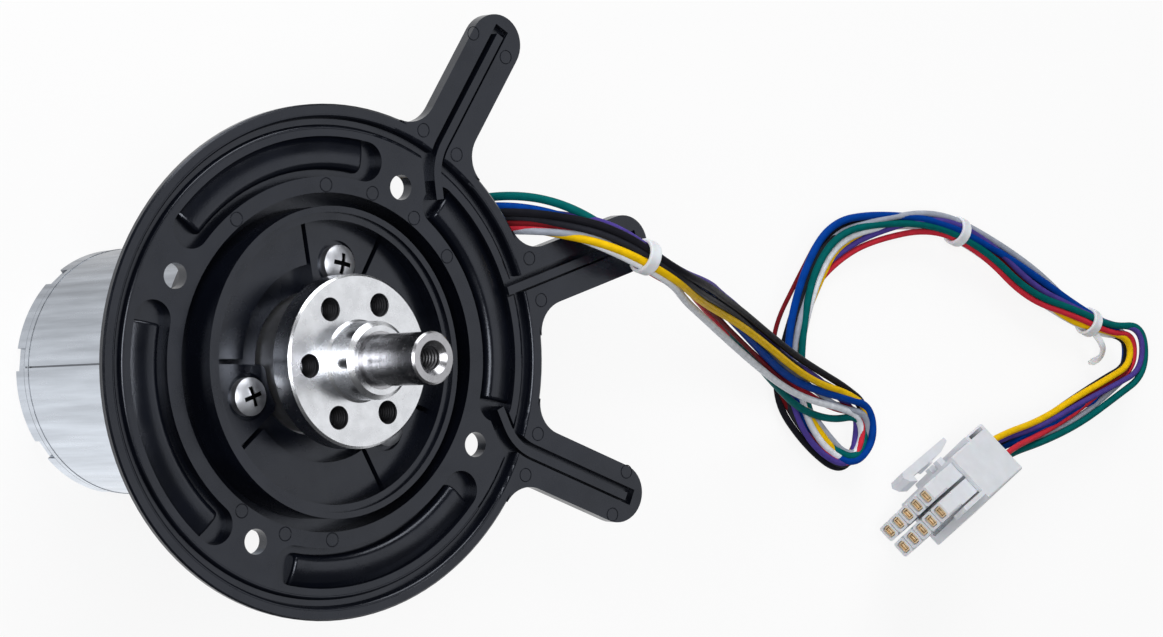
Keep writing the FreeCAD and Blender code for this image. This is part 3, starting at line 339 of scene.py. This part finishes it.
def wire_jacket(name, color):
    paint = Paint("jacket_" + name, color, 0.44, specular_ior_level=0.015)
    paint.tint(paint.noise(420.0), dark=0.88, light=1.1)
    paint.sheen_spread(paint.noise(900.0), 0.07)
    paint.bump(paint.noise(3200.0, detail=2.0), depth=0.000012)
    return paint


def dress_nodes():
    """A material for each of the record's slots, on the nodes that name the slot."""
    paints = {
        "black_plastic": moulded_black(),
        "plated_steel": rolled_zinc(),
        "cast_alloy": textured("cast_alloy", (0.58, 0.59, 0.62), 0.42, (260.0, 0.85, 1.1),
                               (1500.0, 0.00002), metallic=1.0),
        "zinc_screw": bright_zinc(),
        "laminations": layered("laminations", (0.30, 0.31, 0.33), 0.45, 400.0,
                               spacing=0.0005, distortion=0.1, depth=0.00004),
        "copper_wire": layered("copper_wire", (0.70, 0.30, 0.12), 0.3, 300.0,
                               spacing=0.0006, distortion=0.6, depth=0.00012),
        "board": textured("board_green", (0.03, 0.17, 0.07), 0.35, (350.0, 0.7, 1.25),
                          (900.0, 0.00001)),
        "gear_steel": ground_steel("gear_steel", (0.48, 0.49, 0.51), 0.3),
        "bearing_steel": ground_steel("bearing_steel", (0.74, 0.75, 0.77), 0.18),
        "shaft_steel": turned_steel(),
        "hub_aluminium": turned_aluminium(),
        "magnet": textured("sintered_magnet", (0.10, 0.10, 0.11), 0.4, (600.0, 0.8, 1.2),
                           (2000.0, 0.00002), metallic=0.8),
        "black_rubber": textured("black_rubber", (0.022, 0.022, 0.023), 0.66, (220.0, 0.8, 1.25),
                                 (1600.0, 0.00003)),
        "wire_jacket": wire_jacket("bundle", (0.1, 0.12, 0.2)),
        "tie_nylon": natural_nylon("tie_nylon", (0.84, 0.86, 0.90), 0.34),
        "plug_nylon": natural_nylon("plug_nylon", (0.71, 0.73, 0.77), 0.42),
        "terminal_brass": textured("tinned_brass", (0.70, 0.53, 0.33), 0.36, (900.0, 0.8, 1.15),
                                   (2600.0, 0.000008), metallic=0.7),
    }
    for part in frame["record"]["subparts"]:
        node = NODES[part["node"]]
        node.data.materials.clear()
        node.data.materials.append(paints[part["material_slot"]].material)
    return paints


# Harness: the bundle's route, as in the part's source, in millimetres
ROUTE = [
    (29.654, 7.946, 38.8), (41.052, 11.0, 38.8),
    (51.5, 13.7, 45.6), (56.0, 14.8, 57.0), (60.5, 13.6, 71.5), (63.6, 10.6, 84.8),
    (70.4, 3.2, 94.0), (84.6, -6.6, 95.4), (101.4, -17.6, 83.0),
    (121.8, -28.1, 60.0), (141.4, -39.3, 44.4), (160.9, -51.0, 30.6),
    (180.5, -63.4, 18.6), (194.8, -72.7, 11.0), (207.1, -81.0, 6.0),
    (216.9, -87.0, 3.6), (215.4, -96.5, 3.0), (206.2, -98.9, 3.0),
    (197.8, -88.4, 3.2), (193.4, -74.1, 3.0), (197.3, -61.5, 3.2),
    (209.6, -48.2, 3.0), (221.7, -40.2, 3.6), (237.4, -41.2, 4.0),
    (259.1, -47.5, 4.6), (275.7, -60.7, 4.6), (289.2, -77.4, 4.4),
    (302.0, -90.0, 4.6), (313.2, -99.0, 4.8), (323.0, -103.2, 6.4),
    (320.6, -114.4, 7.2), (306.4, -116.0, 7.2), (290.6, -114.0, 8.0),
    (272.4, -114.4, 10.0), (253.31, -112.29, 11.35), (240.6, -113.2, 13.9),
]

# The plug's own frame, which starts where the route ends
PLUG_FORWARD = Vector((-0.978, -0.070, 0.196)).normalized()
PLUG_ROW = Vector((-0.131, -0.523, -0.842)).normalized()
PLUG_ACROSS = PLUG_FORWARD.cross(PLUG_ROW).normalized()
PLUG_TURN = Matrix((PLUG_FORWARD, PLUG_ROW, PLUG_ACROSS)).transposed().to_4x4()
PLUG_FRAME = Matrix.Translation(ROUTE[-1]) @ PLUG_TURN
PIN_PITCH = 4.2
ROW_PITCH = 5.5

# Each wire: colour, diameter in millimetres, and its column and row in the plug
WIRES = {
    "black": ((0.012, 0.012, 0.016), 1.8, 0, -1),
    "jet": ((0.022, 0.023, 0.030), 1.6, 2, 1),
    "yellow": ((0.86, 0.53, 0.006), 1.8, -2, -1),
    "blue": ((0.002, 0.047, 0.29), 2.0, 1, -1),
    "white": ((0.78, 0.81, 0.86), 1.8, 1, 1),
    "teal": ((0.002, 0.115, 0.115), 1.9, -1, 1),
    "purple": ((0.075, 0.050, 0.27), 1.6, -1, -1),
    "red": ((0.60, 0.030, 0.050), 1.6, -2, 1),
    "brown": ((0.16, 0.010, 0.014), 1.2, 2, -1),
    "grey": ((0.36, 0.39, 0.46), 1.6, 0, 1),
}

# Where each wire lies at each of the route's points before the plug, in the order above:
# millimetres across and above the route
LANES = {
    0: ((-1.0, 1.6), (-1.7, -0.3), (0.9, 1.7), (0.1, 0.2), (2.0, 0.5),
        (-0.9, -1.8), (-2.1, 1.0), (1.6, -1.3), (0.4, -1.7), (0.9, -0.4)),
    1: ((-1.0, 1.6), (-1.7, -0.3), (0.9, 1.7), (0.1, 0.2), (2.0, 0.5),
        (-0.9, -1.8), (-2.1, 1.0), (1.6, -1.3), (0.4, -1.7), (0.9, -0.4)),
    2: ((-0.65, 1.4), (-0.55, -0.15), (1.25, 0.45), (-0.65, 0.55), (1.45, -0.6),
        (-1.75, -0.7), (-1.65, 0.2), (1.9, -0.55), (0.9, -0.4), (1.75, -0.5)),
    3: ((-0.3, 1.2), (0.6, 0.0), (1.6, -0.8), (-1.4, 0.9), (0.9, -1.7),
        (-2.6, 0.4), (-1.2, -0.6), (2.2, 0.2), (1.4, 0.9), (2.6, -0.6)),
    4: ((-0.1, 1.6), (0.6, 0.2), (2.0, -1.0), (-1.7, 1.0), (0.8, -1.8),
        (-4.2, 0.8), (-1.0, -0.8), (3.5, 0.4), (2.4, 1.0), (3.8, -0.6)),
    5: ((-0.1, 1.8), (1.2, 1.0), (3.0, -1.0), (-1.4, 0.0), (1.6, -1.8),
        (-3.9, 1.0), (-1.6, -0.8), (2.2, -0.2), (1.7, 0.6), (3.4, 0.4)),
    6: ((-2.0, 1.8), (-0.3, 1.4), (1.8, 1.6), (-0.2, -0.1), (2.6, 0.4),
        (-2.0, -0.9), (-3.3, 0.6), (1.4, -1.0), (0.2, -1.0), (-0.2, -0.3)),
    7: ((2.5, 1.9), (3.4, 1.6), (4.2, 1.5), (3.2, 0.7), (4.8, 0.3),
        (2.8, -2.2), (2.1, 0.8), (5.0, -1.1), (0.8, 0.2), (4.1, -2.7)),
    8: ((0.0, 1.9), (1.7, 0.5), (2.8, -0.7), (0.0, 0.0), (3.8, -3.1),
        (-0.6, -2.3), (-0.8, 2.0), (0.9, -2.8), (0.7, -1.8), (-1.6, -0.2)),
    9: ((-2.0, 3.9), (-0.6, 3.0), (0.7, 1.6), (-0.9, 1.7), (2.2, -1.3),
        (-1.4, -1.2), (-2.8, 3.4), (-0.3, -1.5), (-0.3, -0.3), (-2.7, 1.3)),
    10: ((-3.3, 3.1), (-1.9, 2.4), (-0.4, 2.4), (-0.9, 1.1), (3.0, -0.9),
         (-0.1, -1.8), (-3.8, 2.6), (0.3, -2.1), (0.5, -0.6), (-2.5, 0.1)),
    11: ((-3.1, 2.7), (-1.6, 1.4), (-0.5, 2.4), (0.5, 0.4), (3.9, -1.0),
         (1.3, -2.6), (-2.7, 1.3), (1.0, -2.2), (1.8, -0.7), (-1.5, -0.5)),
    12: ((-2.8, 2.0), (-1.3, 0.7), (0.3, 1.9), (2.6, 0.1), (5.1, -0.8),
         (4.7, -2.9), (-1.7, 0.0), (2.2, -2.5), (3.4, -1.4), (-0.1, -1.3)),
    13: ((-3.0, 1.6), (-1.3, -0.3), (0.1, 1.7), (1.7, 0.7), (4.5, -0.4),
         (7.0, -3.1), (-1.8, 0.5), (2.2, -2.6), (4.1, -2.2), (0.3, -1.7)),
    14: ((-3.0, 1.0), (-1.7, 0.0), (-1.5, 1.8), (0.0, 1.7), (2.6, 0.8),
         (6.1, -1.7), (-0.1, -0.4), (3.1, -1.7), (1.5, -0.5), (2.7, -0.3)),
    15: ((-0.6, 0.8), (-0.5, -0.6), (0.2, 1.6), (-0.6, 2.0), (3.2, 0.2),
         (2.8, 0.1), (2.0, -1.4), (2.0, 0.0), (1.6, 0.6), (1.6, 2.2)),
    16: ((1.4, -1.6), (1.2, -0.6), (2.4, -0.8), (-0.6, 1.8), (2.6, 0.6),
         (0.5, 0.2), (3.6, -1.0), (2.8, 1.0), (2.4, -1.8), (0.2, -0.4)),
    17: ((-3.0, -1.6), (-2.2, -0.4), (0.1, -0.6), (-1.2, 1.2), (-0.4, 0.4),
         (0.4, 1.4), (-1.6, 0.6), (-1.6, 0.6), (-1.0, -1.8), (1.6, 0.2)),
    18: ((-3.3, -1.6), (-2.2, -0.2), (1.4, 0.6), (0.6, -1.6), (-0.8, 0.4),
         (2.0, -1.2), (-3.4, 0.4), (-1.7, -0.8), (-0.4, -2.0), (2.6, 1.0)),
    19: ((-5.0, -1.6), (-3.4, -0.6), (1.8, -0.8), (0.0, 0.6), (1.4, 1.4),
         (4.0, 0.6), (-1.6, 0.4), (-2.4, -1.8), (-4.4, 0.0), (2.9, -1.4)),
    20: ((-0.6, -0.8), (2.2, -0.6), (3.8, -1.4), (-2.0, 1.6), (5.2, -0.6),
         (3.6, 1.4), (1.0, -1.8), (0.4, -2.0), (-4.8, -2.0), (1.2, 1.0)),
    21: ((1.0, -1.4), (-0.4, 0.2), (5.3, -0.4), (-2.8, 1.6), (3.4, 0.6),
         (0.2, 1.8), (2.6, -1.4), (5.2, -1.8), (-0.8, -1.6), (1.8, 0.6)),
    22: ((0.2, -1.8), (0.9, 0.2), (4.6, -0.8), (-2.9, 1.4), (3.2, 0.4),
         (0.7, 1.8), (6.4, -0.6), (8.2, -1.2), (-1.4, -1.6), (0.6, -0.4)),
    23: ((0.4, -2.2), (1.0, -0.6), (3.4, -1.4), (-0.8, 1.0), (2.7, 0.4),
         (1.7, 1.6), (4.1, 0.2), (6.2, -0.8), (-0.6, -1.2), (0.8, 2.0)),
    24: ((0.2, -1.4), (-0.7, -0.1), (1.6, -1.8), (1.7, 2.1), (3.0, -1.2),
         (2.9, 1.7), (0.4, 2.3), (3.7, 0.6), (1.6, 0.3), (-1.0, 1.5)),
    25: ((0.2, -1.4), (-0.7, -0.1), (1.6, -1.8), (1.4, 2.1), (3.0, -1.2),
         (2.9, 1.7), (0.4, 2.3), (3.7, 0.6), (1.6, 0.3), (-1.0, 1.5)),
    26: ((-1.0, -1.2), (-2.4, -0.6), (0.6, -1.4), (-1.9, 1.6), (2.4, -1.4),
         (3.4, 1.2), (1.1, 1.4), (5.0, 0.2), (0.4, 0.2), (-3.9, 1.0)),
    27: ((0.6, -1.9), (-0.9, -1.5), (3.0, -0.2), (-1.6, 1.2), (2.2, -1.3),
         (-0.2, 2.4), (-1.0, 1.6), (1.4, 2.0), (0.6, 0.0), (-1.6, -0.3)),
    28: ((0.6, -1.7), (-0.5, -1.5), (0.6, 1.3), (-1.2, 1.0), (1.6, -1.0),
         (-0.6, 2.2), (-1.2, 1.4), (1.2, 2.0), (1.0, 0.0), (-1.2, -0.3)),
    29: ((2.4, -2.0), (2.0, -2.0), (3.0, -0.2), (1.6, -3.0), (0.6, -2.4),
         (-2.8, 1.4), (-1.2, 1.8), (0.6, -0.2), (1.4, -1.0), (0.9, -1.4)),
    30: ((3.8, -3.0), (3.6, -3.0), (4.2, -1.4), (3.0, -4.0), (1.7, -3.5),
         (-0.8, 0.8), (1.2, 0.8), (2.0, -1.4), (3.0, -1.4), (1.4, -2.4)),
    31: ((5.0, -1.4), (3.8, -2.2), (5.2, 1.0), (-0.8, -2.4), (2.2, -2.6),
         (-0.6, 1.0), (2.8, 1.6), (3.1, -0.6), (3.4, 0.8), (0.6, -0.9)),
    32: ((2.4, -1.4), (0.8, -1.8), (3.2, 0.8), (0.6, 0.2), (-1.6, -1.8),
         (-4.3, 0.4), (1.2, 1.2), (-1.0, 0.0), (2.0, -0.4), (-3.1, -0.6)),
    33: ((2.2, -1.0), (0.4, -1.4), (3.2, 0.8), (0.4, 0.2), (-0.8, -1.8),
         (-2.8, 0.2), (1.8, 1.2), (-0.6, 0.2), (1.4, -0.2), (-1.8, -1.4)),
}

# At the plug, a wire spreads from a share of its socket's offset, some way behind, into the socket
SPREAD_SHARE = 0.85
SPREAD_BEHIND = 8.0
SOCKET_DEPTH = 1.0


def socket_place(column, row, forward, share=1.0):
    """A place on the axis of one of the plug's sockets, in the plug's frame."""
    return Vector((forward, share * column * PIN_PITCH, share * row * ROW_PITCH / 2.0))


def wire_points(name):
    """A wire's control points: the route's, moved across and up, and two that lead into its socket."""
    route = [Vector(p) for p in ROUTE]
    which = list(WIRES).index(name)
    placed = []
    for i, lanes in LANES.items():
        along = route[i + 1] - route[max(i - 1, 0)]
        across = along.cross(UP).normalized()
        above = across.cross(along).normalized()
        side, lift = lanes[which]
        placed.append(route[i] + across * side + above * lift)
    seat = WIRES[name][2:]
    placed.append(PLUG_FRAME @ socket_place(*seat, -SPREAD_BEHIND, SPREAD_SHARE))
    placed.append(PLUG_FRAME @ socket_place(*seat, SOCKET_DEPTH))
    return [p * MM for p in placed]


def smooth_curve(name, points):
    """A curve of one open spline, with the points as its control points."""
    curve = bpy.data.curves.new(name, "CURVE")
    curve.dimensions = "3D"
    spline = curve.splines.new("NURBS")
    spline.points.add(len(points) - 1)
    for control, point in zip(spline.points, points):
        control.co = (*point, 1.0)
    spline.use_endpoint_u = True
    spline.order_u = 3
    spline.resolution_u = 10
    return curve


def tube(name, points, radius):
    curve = smooth_curve(name, points)
    curve.bevel_depth = radius
    curve.bevel_resolution = 5
    curve.use_fill_caps = True
    return put(name, curve)


def spline_line(points):
    """Points along the smooth spline that has the given control points."""
    curve = smooth_curve("line", points)
    holder = bpy.data.objects.new("line", curve)
    mesh = bpy.data.meshes.new_from_object(holder)
    line = [v.co.copy() for v in mesh.vertices]
    bpy.data.objects.remove(holder)
    bpy.data.meshes.remove(mesh)
    bpy.data.curves.remove(curve)
    return line


def spline_length(points):
    line = spline_line(points)
    return sum((b - a).length for a, b in zip(line, line[1:]))


def add_wires(pieces):
    for name, (color, diameter, _, _) in WIRES.items():
        points = wire_points(name)
        wire = tube("wire_" + name, points, diameter * MM / 2.0)
        wire.data.materials.append(wire_jacket(name, color).material)
        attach(wire, "frame")
        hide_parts("harness")
        round(spline_length(points), 3)


# Mesh pieces, built in millimetres
SHARP_ANGLE = 35.0
NO_SHARP_EDGES = 180.0
ROUNDING_SEGMENTS = 3


def skin(bm, rings, closed):
    """Faces between rings of corners that follow each other, with a face at each end if it is open."""
    following = rings[1:] + rings[:1] if closed else rings[1:]
    for ring, after in zip(rings, following):
        for j in range(len(ring)):
            n = (j + 1) % len(ring)
            bm.faces.new((ring[j], ring[n], after[n], after[j]))
    if not closed:
        bm.faces.new(rings[0])
        bm.faces.new(rings[-1])


def rounded_box(size, edge):
    box = bmesh.new()
    bmesh.ops.create_cube(box, size=1.0)
    bmesh.ops.scale(box, vec=size, verts=box.verts)
    bmesh.ops.bevel(box, geom=box.edges[:], offset=edge, segments=ROUNDING_SEGMENTS, profile=0.5,
                    affect="EDGES")
    return box


def join(bm, part, place):
    """A part copied into a mesh at its place, and freed."""
    copies = {vert: bm.verts.new(place @ vert.co) for vert in part.verts}
    for face in part.faces:
        bm.faces.new([copies[vert] for vert in face.verts])
    part.free()


def mesh_piece(name, bm, paint, sharp_angle=SHARP_ANGLE):
    bmesh.ops.scale(bm, vec=(MM, MM, MM), verts=bm.verts)
    bmesh.ops.recalc_face_normals(bm, faces=bm.faces)
    mesh = bpy.data.meshes.new(name)
    bm.to_mesh(mesh)
    bm.free()
    for face in mesh.polygons:
        face.use_smooth = True
    mesh.set_sharp_from_angle(angle=math.radians(sharp_angle))
    mesh.materials.append(paint.material)
    return put(name, mesh)


# Cable ties: the run of the route that each is on, its shift across and above the route, and the
# angle of its lock round the bundle, from the top
TIES = {
    "tie_1": (6, (1.5, 0.3), 160.0),
    "tie_2": (24, (1.4, 0.3), 138.0),
    "tie_3": (27, (0.5, 0.2), 138.0),
}
TIE_INNER_R = 3.05
TIE_STEPS = 104
TIE_SECTION = [
    (-1.5, 0.28), (-1.5, 0.57), (-1.42, 0.77), (-1.2, 0.85), (-0.85, 0.85), (0.85, 0.85),
    (1.2, 0.85), (1.42, 0.77), (1.5, 0.57), (1.5, 0.28), (1.42, 0.08), (1.2, 0.0), (-1.2, 0.0),
    (-1.42, 0.08),
]
TIE_TOOTH_CORNERS = (4, 5)
TIE_TOOTH = 0.12
TIE_HEAD = (3.6, 3.6, 1.8)
TIE_HEAD_EDGE = 0.4
TIE_MOUTH_WALL = 0.2
TIE_MOUTH_DEPTH = 0.8

# The loose end of the third tie: control points, half widths along it and at its tip, and section
TAIL = [
    (307.0, -96.6, 5.0), (307.3, -98.9, 6.3), (307.9, -101.2, 6.8), (308.9, -103.3, 6.0),
    (309.4, -105.4, 4.2), (308.4, -106.6, 2.4), (306.6, -106.4, 1.6),
]
TAIL_HALF_WIDTH = 0.95
TAIL_TIP_HALF_WIDTH = 0.6
TAIL_TIP_RINGS = 3
TAIL_SECTION = [
    (-1.0, -0.25), (-1.0, 0.25), (-0.85, 0.45), (0.85, 0.45),
    (1.0, 0.25), (1.0, -0.25), (0.85, -0.45), (-0.85, -0.45),
]


def tie_strap(bm, place):
    """A closed band with ratchet teeth across the middle of its outer face."""
    rings = []
    for step, angle in enumerate(full_turn(TIE_STEPS)):
        ring = []
        for j, (along, height) in enumerate(TIE_SECTION):
            if j in TIE_TOOTH_CORNERS and step % 2:
                height -= TIE_TOOTH
            out = polar(TIE_INNER_R + height, angle)
            ring.append(bm.verts.new(place @ Vector((along, out.x, out.y))))
        rings.append(ring)
    skin(bm, rings, closed=True)


def tie_head(bm, place, angle):
    """A rounded lock with a slot in the face where the strap comes out."""
    head = rounded_box(TIE_HEAD, TIE_HEAD_EDGE)
    mouth = max(head.faces, key=lambda face: face.normal.y * face.calc_area())
    bmesh.ops.inset_region(head, faces=[mouth], thickness=TIE_MOUTH_WALL)
    for vert in mouth.verts:
        vert.co.y -= TIE_MOUTH_DEPTH
    turn = Matrix.Rotation(math.radians(angle), 4, "X")
    out = Matrix.Translation((0, 0, TIE_INNER_R + TIE_HEAD[2] / 2.0))
    join(bm, head, place @ turn @ out)


def tie_tail(bm):
    """The loose end of a strap, which curls and tapers."""
    line = spline_line(TAIL)
    rings = []
    side = None
    for i, point in enumerate(line):
        ahead = line[min(i + 1, len(line) - 1)] - line[max(i - 1, 0)]
        before, side = side, ahead.cross(UP).normalized()
        if before is not None and side.dot(before) < 0:
            side = -side
        out = side.cross(ahead).normalized()
        at_tip = i >= len(line) - TAIL_TIP_RINGS
        half = TAIL_TIP_HALF_WIDTH if at_tip else TAIL_HALF_WIDTH
        rings.append([bm.verts.new(point + side * (half * x) + out * y) for x, y in TAIL_SECTION])
    skin(bm, rings, closed=False)


def add_ties(paints):
    line = spline_line(ROUTE)
    ties = []
    for name, (run, shift, angle) in TIES.items():
        middle = (Vector(ROUTE[run]) + Vector(ROUTE[run + 1])) / 2.0
        near = min(range(1, len(line) - 1), key=lambda i: (line[i] - middle).length)
        along = (line[near + 1] - line[near - 1]).normalized()
        across = along.cross(UP).normalized()
        above = across.cross(along)
        middle = line[near] + across * shift[0] + above * shift[1]
        turn = Matrix((along, across, above)).transposed().to_4x4()
        place = Matrix.Translation(middle) @ turn
        bm = bmesh.new()
        tie_strap(bm, place)
        tie_head(bm, place, angle)
        if name == "tie_3":
            tie_tail(bm)
        tie = mesh_piece(name, bm, paints["tie_nylon"])
        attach(tie, "frame")
        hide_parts("cable_" + name)
        ties.append(tie)
    return ties


# Spring leaves in the plug's sockets: two to a socket, with a gap between them where a pin goes
LEAF_SIZE = (4.6, 0.62, 1.9)
LEAF_OFFSET = 0.41
LEAF_FRONT = 33.2
LEAF_EDGE = 0.14


def add_leaves(paints):
    bm = bmesh.new()
    for _, _, column, row in WIRES.values():
        for side in (-1, 1):
            middle = socket_place(column, row, LEAF_FRONT - LEAF_SIZE[0] / 2.0)
            middle.y += side * LEAF_OFFSET
            join(bm, rounded_box(LEAF_SIZE, LEAF_EDGE), PLUG_FRAME @ Matrix.Translation(middle))
    leaves = mesh_piece("plug_leaves", bm, paints["terminal_brass"])
    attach(leaves, "frame")
    return leaves


# The flange's own leaning frame
FLANGE_LEAN = math.radians(-6.0)
FLANGE_RIM_Z = 77.7
FLANGE_FRAME = Matrix.Translation((0, 0, FLANGE_RIM_Z)) @ Matrix.Rotation(FLANGE_LEAN, 4, "Y")
BEAD_SIDES = 8

# Round marks that ejector pins leave on the flange, in its frame: on the arms, and round the land
ARM_MARKS = [
    (38.1, 39.0), (44.5, 31.5), (55.2, 4.4), (55.2, -5.2), (44.8, -32.4), (38.8, -39.7),
    (57.2, 54.8), (63.6, 47.5), (64.5, -48.5), (57.8, -56.1),
]
LAND_DROP = 0.8
LAND_MARK_R = 37.3
LAND_MARK_ANGLES = (18, 36, 54, 72, 108, 216, 234, 252)
MARK_R = 1.45
MARK_EDGE = 0.1
MARK_STEPS = 36


def ring_bead(bm, place, radius, edge, steps):
    """A thin round ring, half sunk where it lies on a face."""
    section = [polar(edge, angle) for angle in full_turn(BEAD_SIDES)]
    skin(bm, [[bm.verts.new(place @ polar(radius + corner.x, angle, corner.y)) for corner in section]
              for angle in full_turn(steps)], closed=True)


def add_pin_marks(paints):
    marks = [Vector((x, y, 0.0)) for x, y in ARM_MARKS]
    marks += [polar(LAND_MARK_R, math.radians(a), -LAND_DROP) for a in LAND_MARK_ANGLES]
    bm = bmesh.new()
    for mark in marks:
        ring_bead(bm, FLANGE_FRAME @ Matrix.Translation(mark), MARK_R, MARK_EDGE, MARK_STEPS)
    piece = mesh_piece("pin_marks", bm, paints["black_plastic"])
    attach(piece, "frame")


# Line that rolling leaves round the can near its rear end
CAN_R = 27.3
CAN_LINE_Z = 4.7
CAN_LINE_EDGE = 0.13
CAN_LINE_STEPS = 160


def add_can_line(paints):
    bm = bmesh.new()
    ring_bead(bm, Matrix.Translation((0, 0, CAN_LINE_Z)), CAN_R, CAN_LINE_EDGE, CAN_LINE_STEPS)
    line = mesh_piece("can_line", bm, paints["plated_steel"])
    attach(line, "frame")


# Smooth beads on the two lips of the rim's groove, in the flange's frame: the middle of each lip's
# round, the arc of its section, and the turns that it runs between, which leave out the arms' troughs
LIPS = [
    ((52.249, -0.8), (84.0, 174.0), ((6.0, 27.0), (-29.0, -7.0), (53.0, 306.0))),
    ((49.04, -1.6), (14.0, 96.0), ((58.0, 301.0),)),
]
LIP_R = 0.8
LIP_PROUD = 0.08
LIP_EDGE_SUNK = 0.06
LIP_BACK_SUNK = 0.12
LIP_STEP = 0.75
LIP_SECTION_STEPS = 12
LIP_RISE_SHARE = 1.0 / 3.0


def lip_profile(centre, arc):
    """Corners of a bead's section, as radius and height: proud in the middle and sunk at both edges."""
    front, back = [], []
    for k in range(LIP_SECTION_STEPS + 1):
        share = k / LIP_SECTION_STEPS
        angle = math.radians(arc[0] + (arc[1] - arc[0]) * share)
        rise = min(1.0, share / LIP_RISE_SHARE, (1.0 - share) / LIP_RISE_SHARE)
        for r, row in ((LIP_R - LIP_EDGE_SUNK + (LIP_PROUD + LIP_EDGE_SUNK) * rise, front),
                       (LIP_R - LIP_BACK_SUNK, back)):
            row.append((centre[0] + r * math.cos(angle), centre[1] + r * math.sin(angle)))
    return front + back[::-1]


def add_lip(paints):
    bm = bmesh.new()
    for centre, arc, spans in LIPS:
        profile = lip_profile(centre, arc)
        for start, end in spans:
            count = round((end - start) / LIP_STEP)
            turns = [math.radians(start + (end - start) * i / count) for i in range(count + 1)]
            skin(bm, [[bm.verts.new(FLANGE_FRAME @ polar(r, turn, z)) for r, z in profile]
                      for turn in turns], closed=False)
    lip = mesh_piece("rim_lip", bm, paints["black_plastic"])
    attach(lip, "frame")


# Threads, as liners just inside the plain holes: the hole's radius, the thread's top, length, pitch
# and height, and the corners in each ring
STUB_THREAD = (2.5, 110.5, 13.6, 1.0, 0.42, 40)
HUB_THREAD = (2.5, 86.9, 5.4, 0.8, 0.3, 32)
HUB_HOLES = 6
HUB_HOLE_CIRCLE_R = 13.0
HUB_HOLE_START = math.radians(-15.0)
LINER_RINGS_PER_PITCH = 8
LINER_FADE_RINGS = 6.0
LINER_INSIDE = 0.02
LINER_OUTSIDE = 0.005


def thread_liner(name, size, paint, centre=Vector()):
    """A closed sleeve whose inside has a helical ridge, which fades out at the top."""
    radius, top, length, pitch, height, corners = size
    steps = int(length / pitch * LINER_RINGS_PER_PITCH)
    bm = bmesh.new()
    inner, outer = [], []
    for k in range(steps + 1):
        z = top - length * k / steps
        fade = min(1.0, k / LINER_FADE_RINGS)
        ring_in, ring_out = [], []
        for j, angle in enumerate(full_turn(corners)):
            phase = (z / pitch - j / corners) % 1.0
            ridge = height * fade * (1.0 - abs(2.0 * phase - 1.0))
            for r, ring in ((radius - LINER_INSIDE - ridge, ring_in),
                            (radius - LINER_OUTSIDE, ring_out)):
                ring.append(bm.verts.new(centre + polar(r, angle, z)))
        inner.append(ring_in)
        outer.append(ring_out)
    skin(bm, outer[::-1] + inner, closed=True)
    return mesh_piece(name, bm, paint, NO_SHARP_EDGES)


def add_threads():
    # Painted shade inside the bores: the stub's thread is steel painted darker than bare steel, and the
    # hub's holes are near-black
    bore_shade_steel = ground_steel("thread_shade_steel", (0.16, 0.16, 0.17), 0.42)
    stub = thread_liner("stub_thread", STUB_THREAD, bore_shade_steel)
    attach(stub, "output")
    shade = textured("hole_shade", (0.05, 0.05, 0.055), 0.5, (500.0, 0.8, 1.2),
                     (2200.0, 0.00001), metallic=1.0)
    for k, angle in enumerate(full_turn(HUB_HOLES)):
        centre = polar(HUB_HOLE_CIRCLE_R, HUB_HOLE_START + angle)
        hole = thread_liner("hub_thread_%d" % (k + 1), HUB_THREAD, shade, centre)
        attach(hole, "output")


# Floor and light, in metres and watts. Each lamp has a place, a power and a size
FLOOR_HALF = 4.0
FLOOR_Z = -0.0003
FLOOR_WHITE = 0.86
WORLD_COLOR = (0.97, 0.98, 1.0, 1.0)
WORLD_STRENGTH = 0.08
LAMPS = {
    "key": ((0.74, -0.26, 1.44), 4.1, (1.1, 1.1)),
    "side": ((0.35, 1.25, 0.75), 13.0, (1.1, 0.8)),
    "front": ((-0.95, 0.35, 1.25), 16.0, (0.8, 0.8)),
}
LAMP_AIM = Vector((0.0, 0.0, 0.06))


def add_floor():
    corners = [(x * FLOOR_HALF, y * FLOOR_HALF, 0) for x, y in ((-1, -1), (1, -1), (1, 1), (-1, 1))]
    mesh = bpy.data.meshes.new("floor")
    mesh.from_pydata(corners, [], [(0, 1, 2, 3)])
    floor = put("floor", mesh)
    floor.location.z = FLOOR_Z
    paint = Paint("floor_paint", (0.95, 0.95, 0.955), 0.85)
    paint.tint(paint.noise(3.0), dark=0.995, light=1.005)
    paint.white_to_viewers(FLOOR_WHITE)
    floor.data.materials.append(paint.material)


def add_light():
    world = bpy.data.worlds.new("studio")
    world.use_nodes = True
    background = world.node_tree.nodes["Background"]
    background.inputs["Color"].default_value = WORLD_COLOR
    background.inputs["Strength"].default_value = WORLD_STRENGTH
    bpy.context.scene.world = world
    for name, (place, power, size) in LAMPS.items():
        data = bpy.data.lights.new(name, "AREA")
        data.energy = power
        data.shape = "RECTANGLE"
        data.size, data.size_y = size
        lamp = put(name, data)
        lamp.location = place
        lamp.rotation_euler = (LAMP_AIM - Vector(place)).to_track_quat("-Z", "Y").to_euler()


add_camera()
PAINTS = dress_nodes()
add_wires(add_ties(PAINTS) + [add_leaves(PAINTS)])
add_pin_marks(PAINTS)
add_can_line(PAINTS)
add_lip(PAINTS)
add_threads()
add_floor()
add_light()
bpy.context.scene.view_settings.view_transform = "Standard"
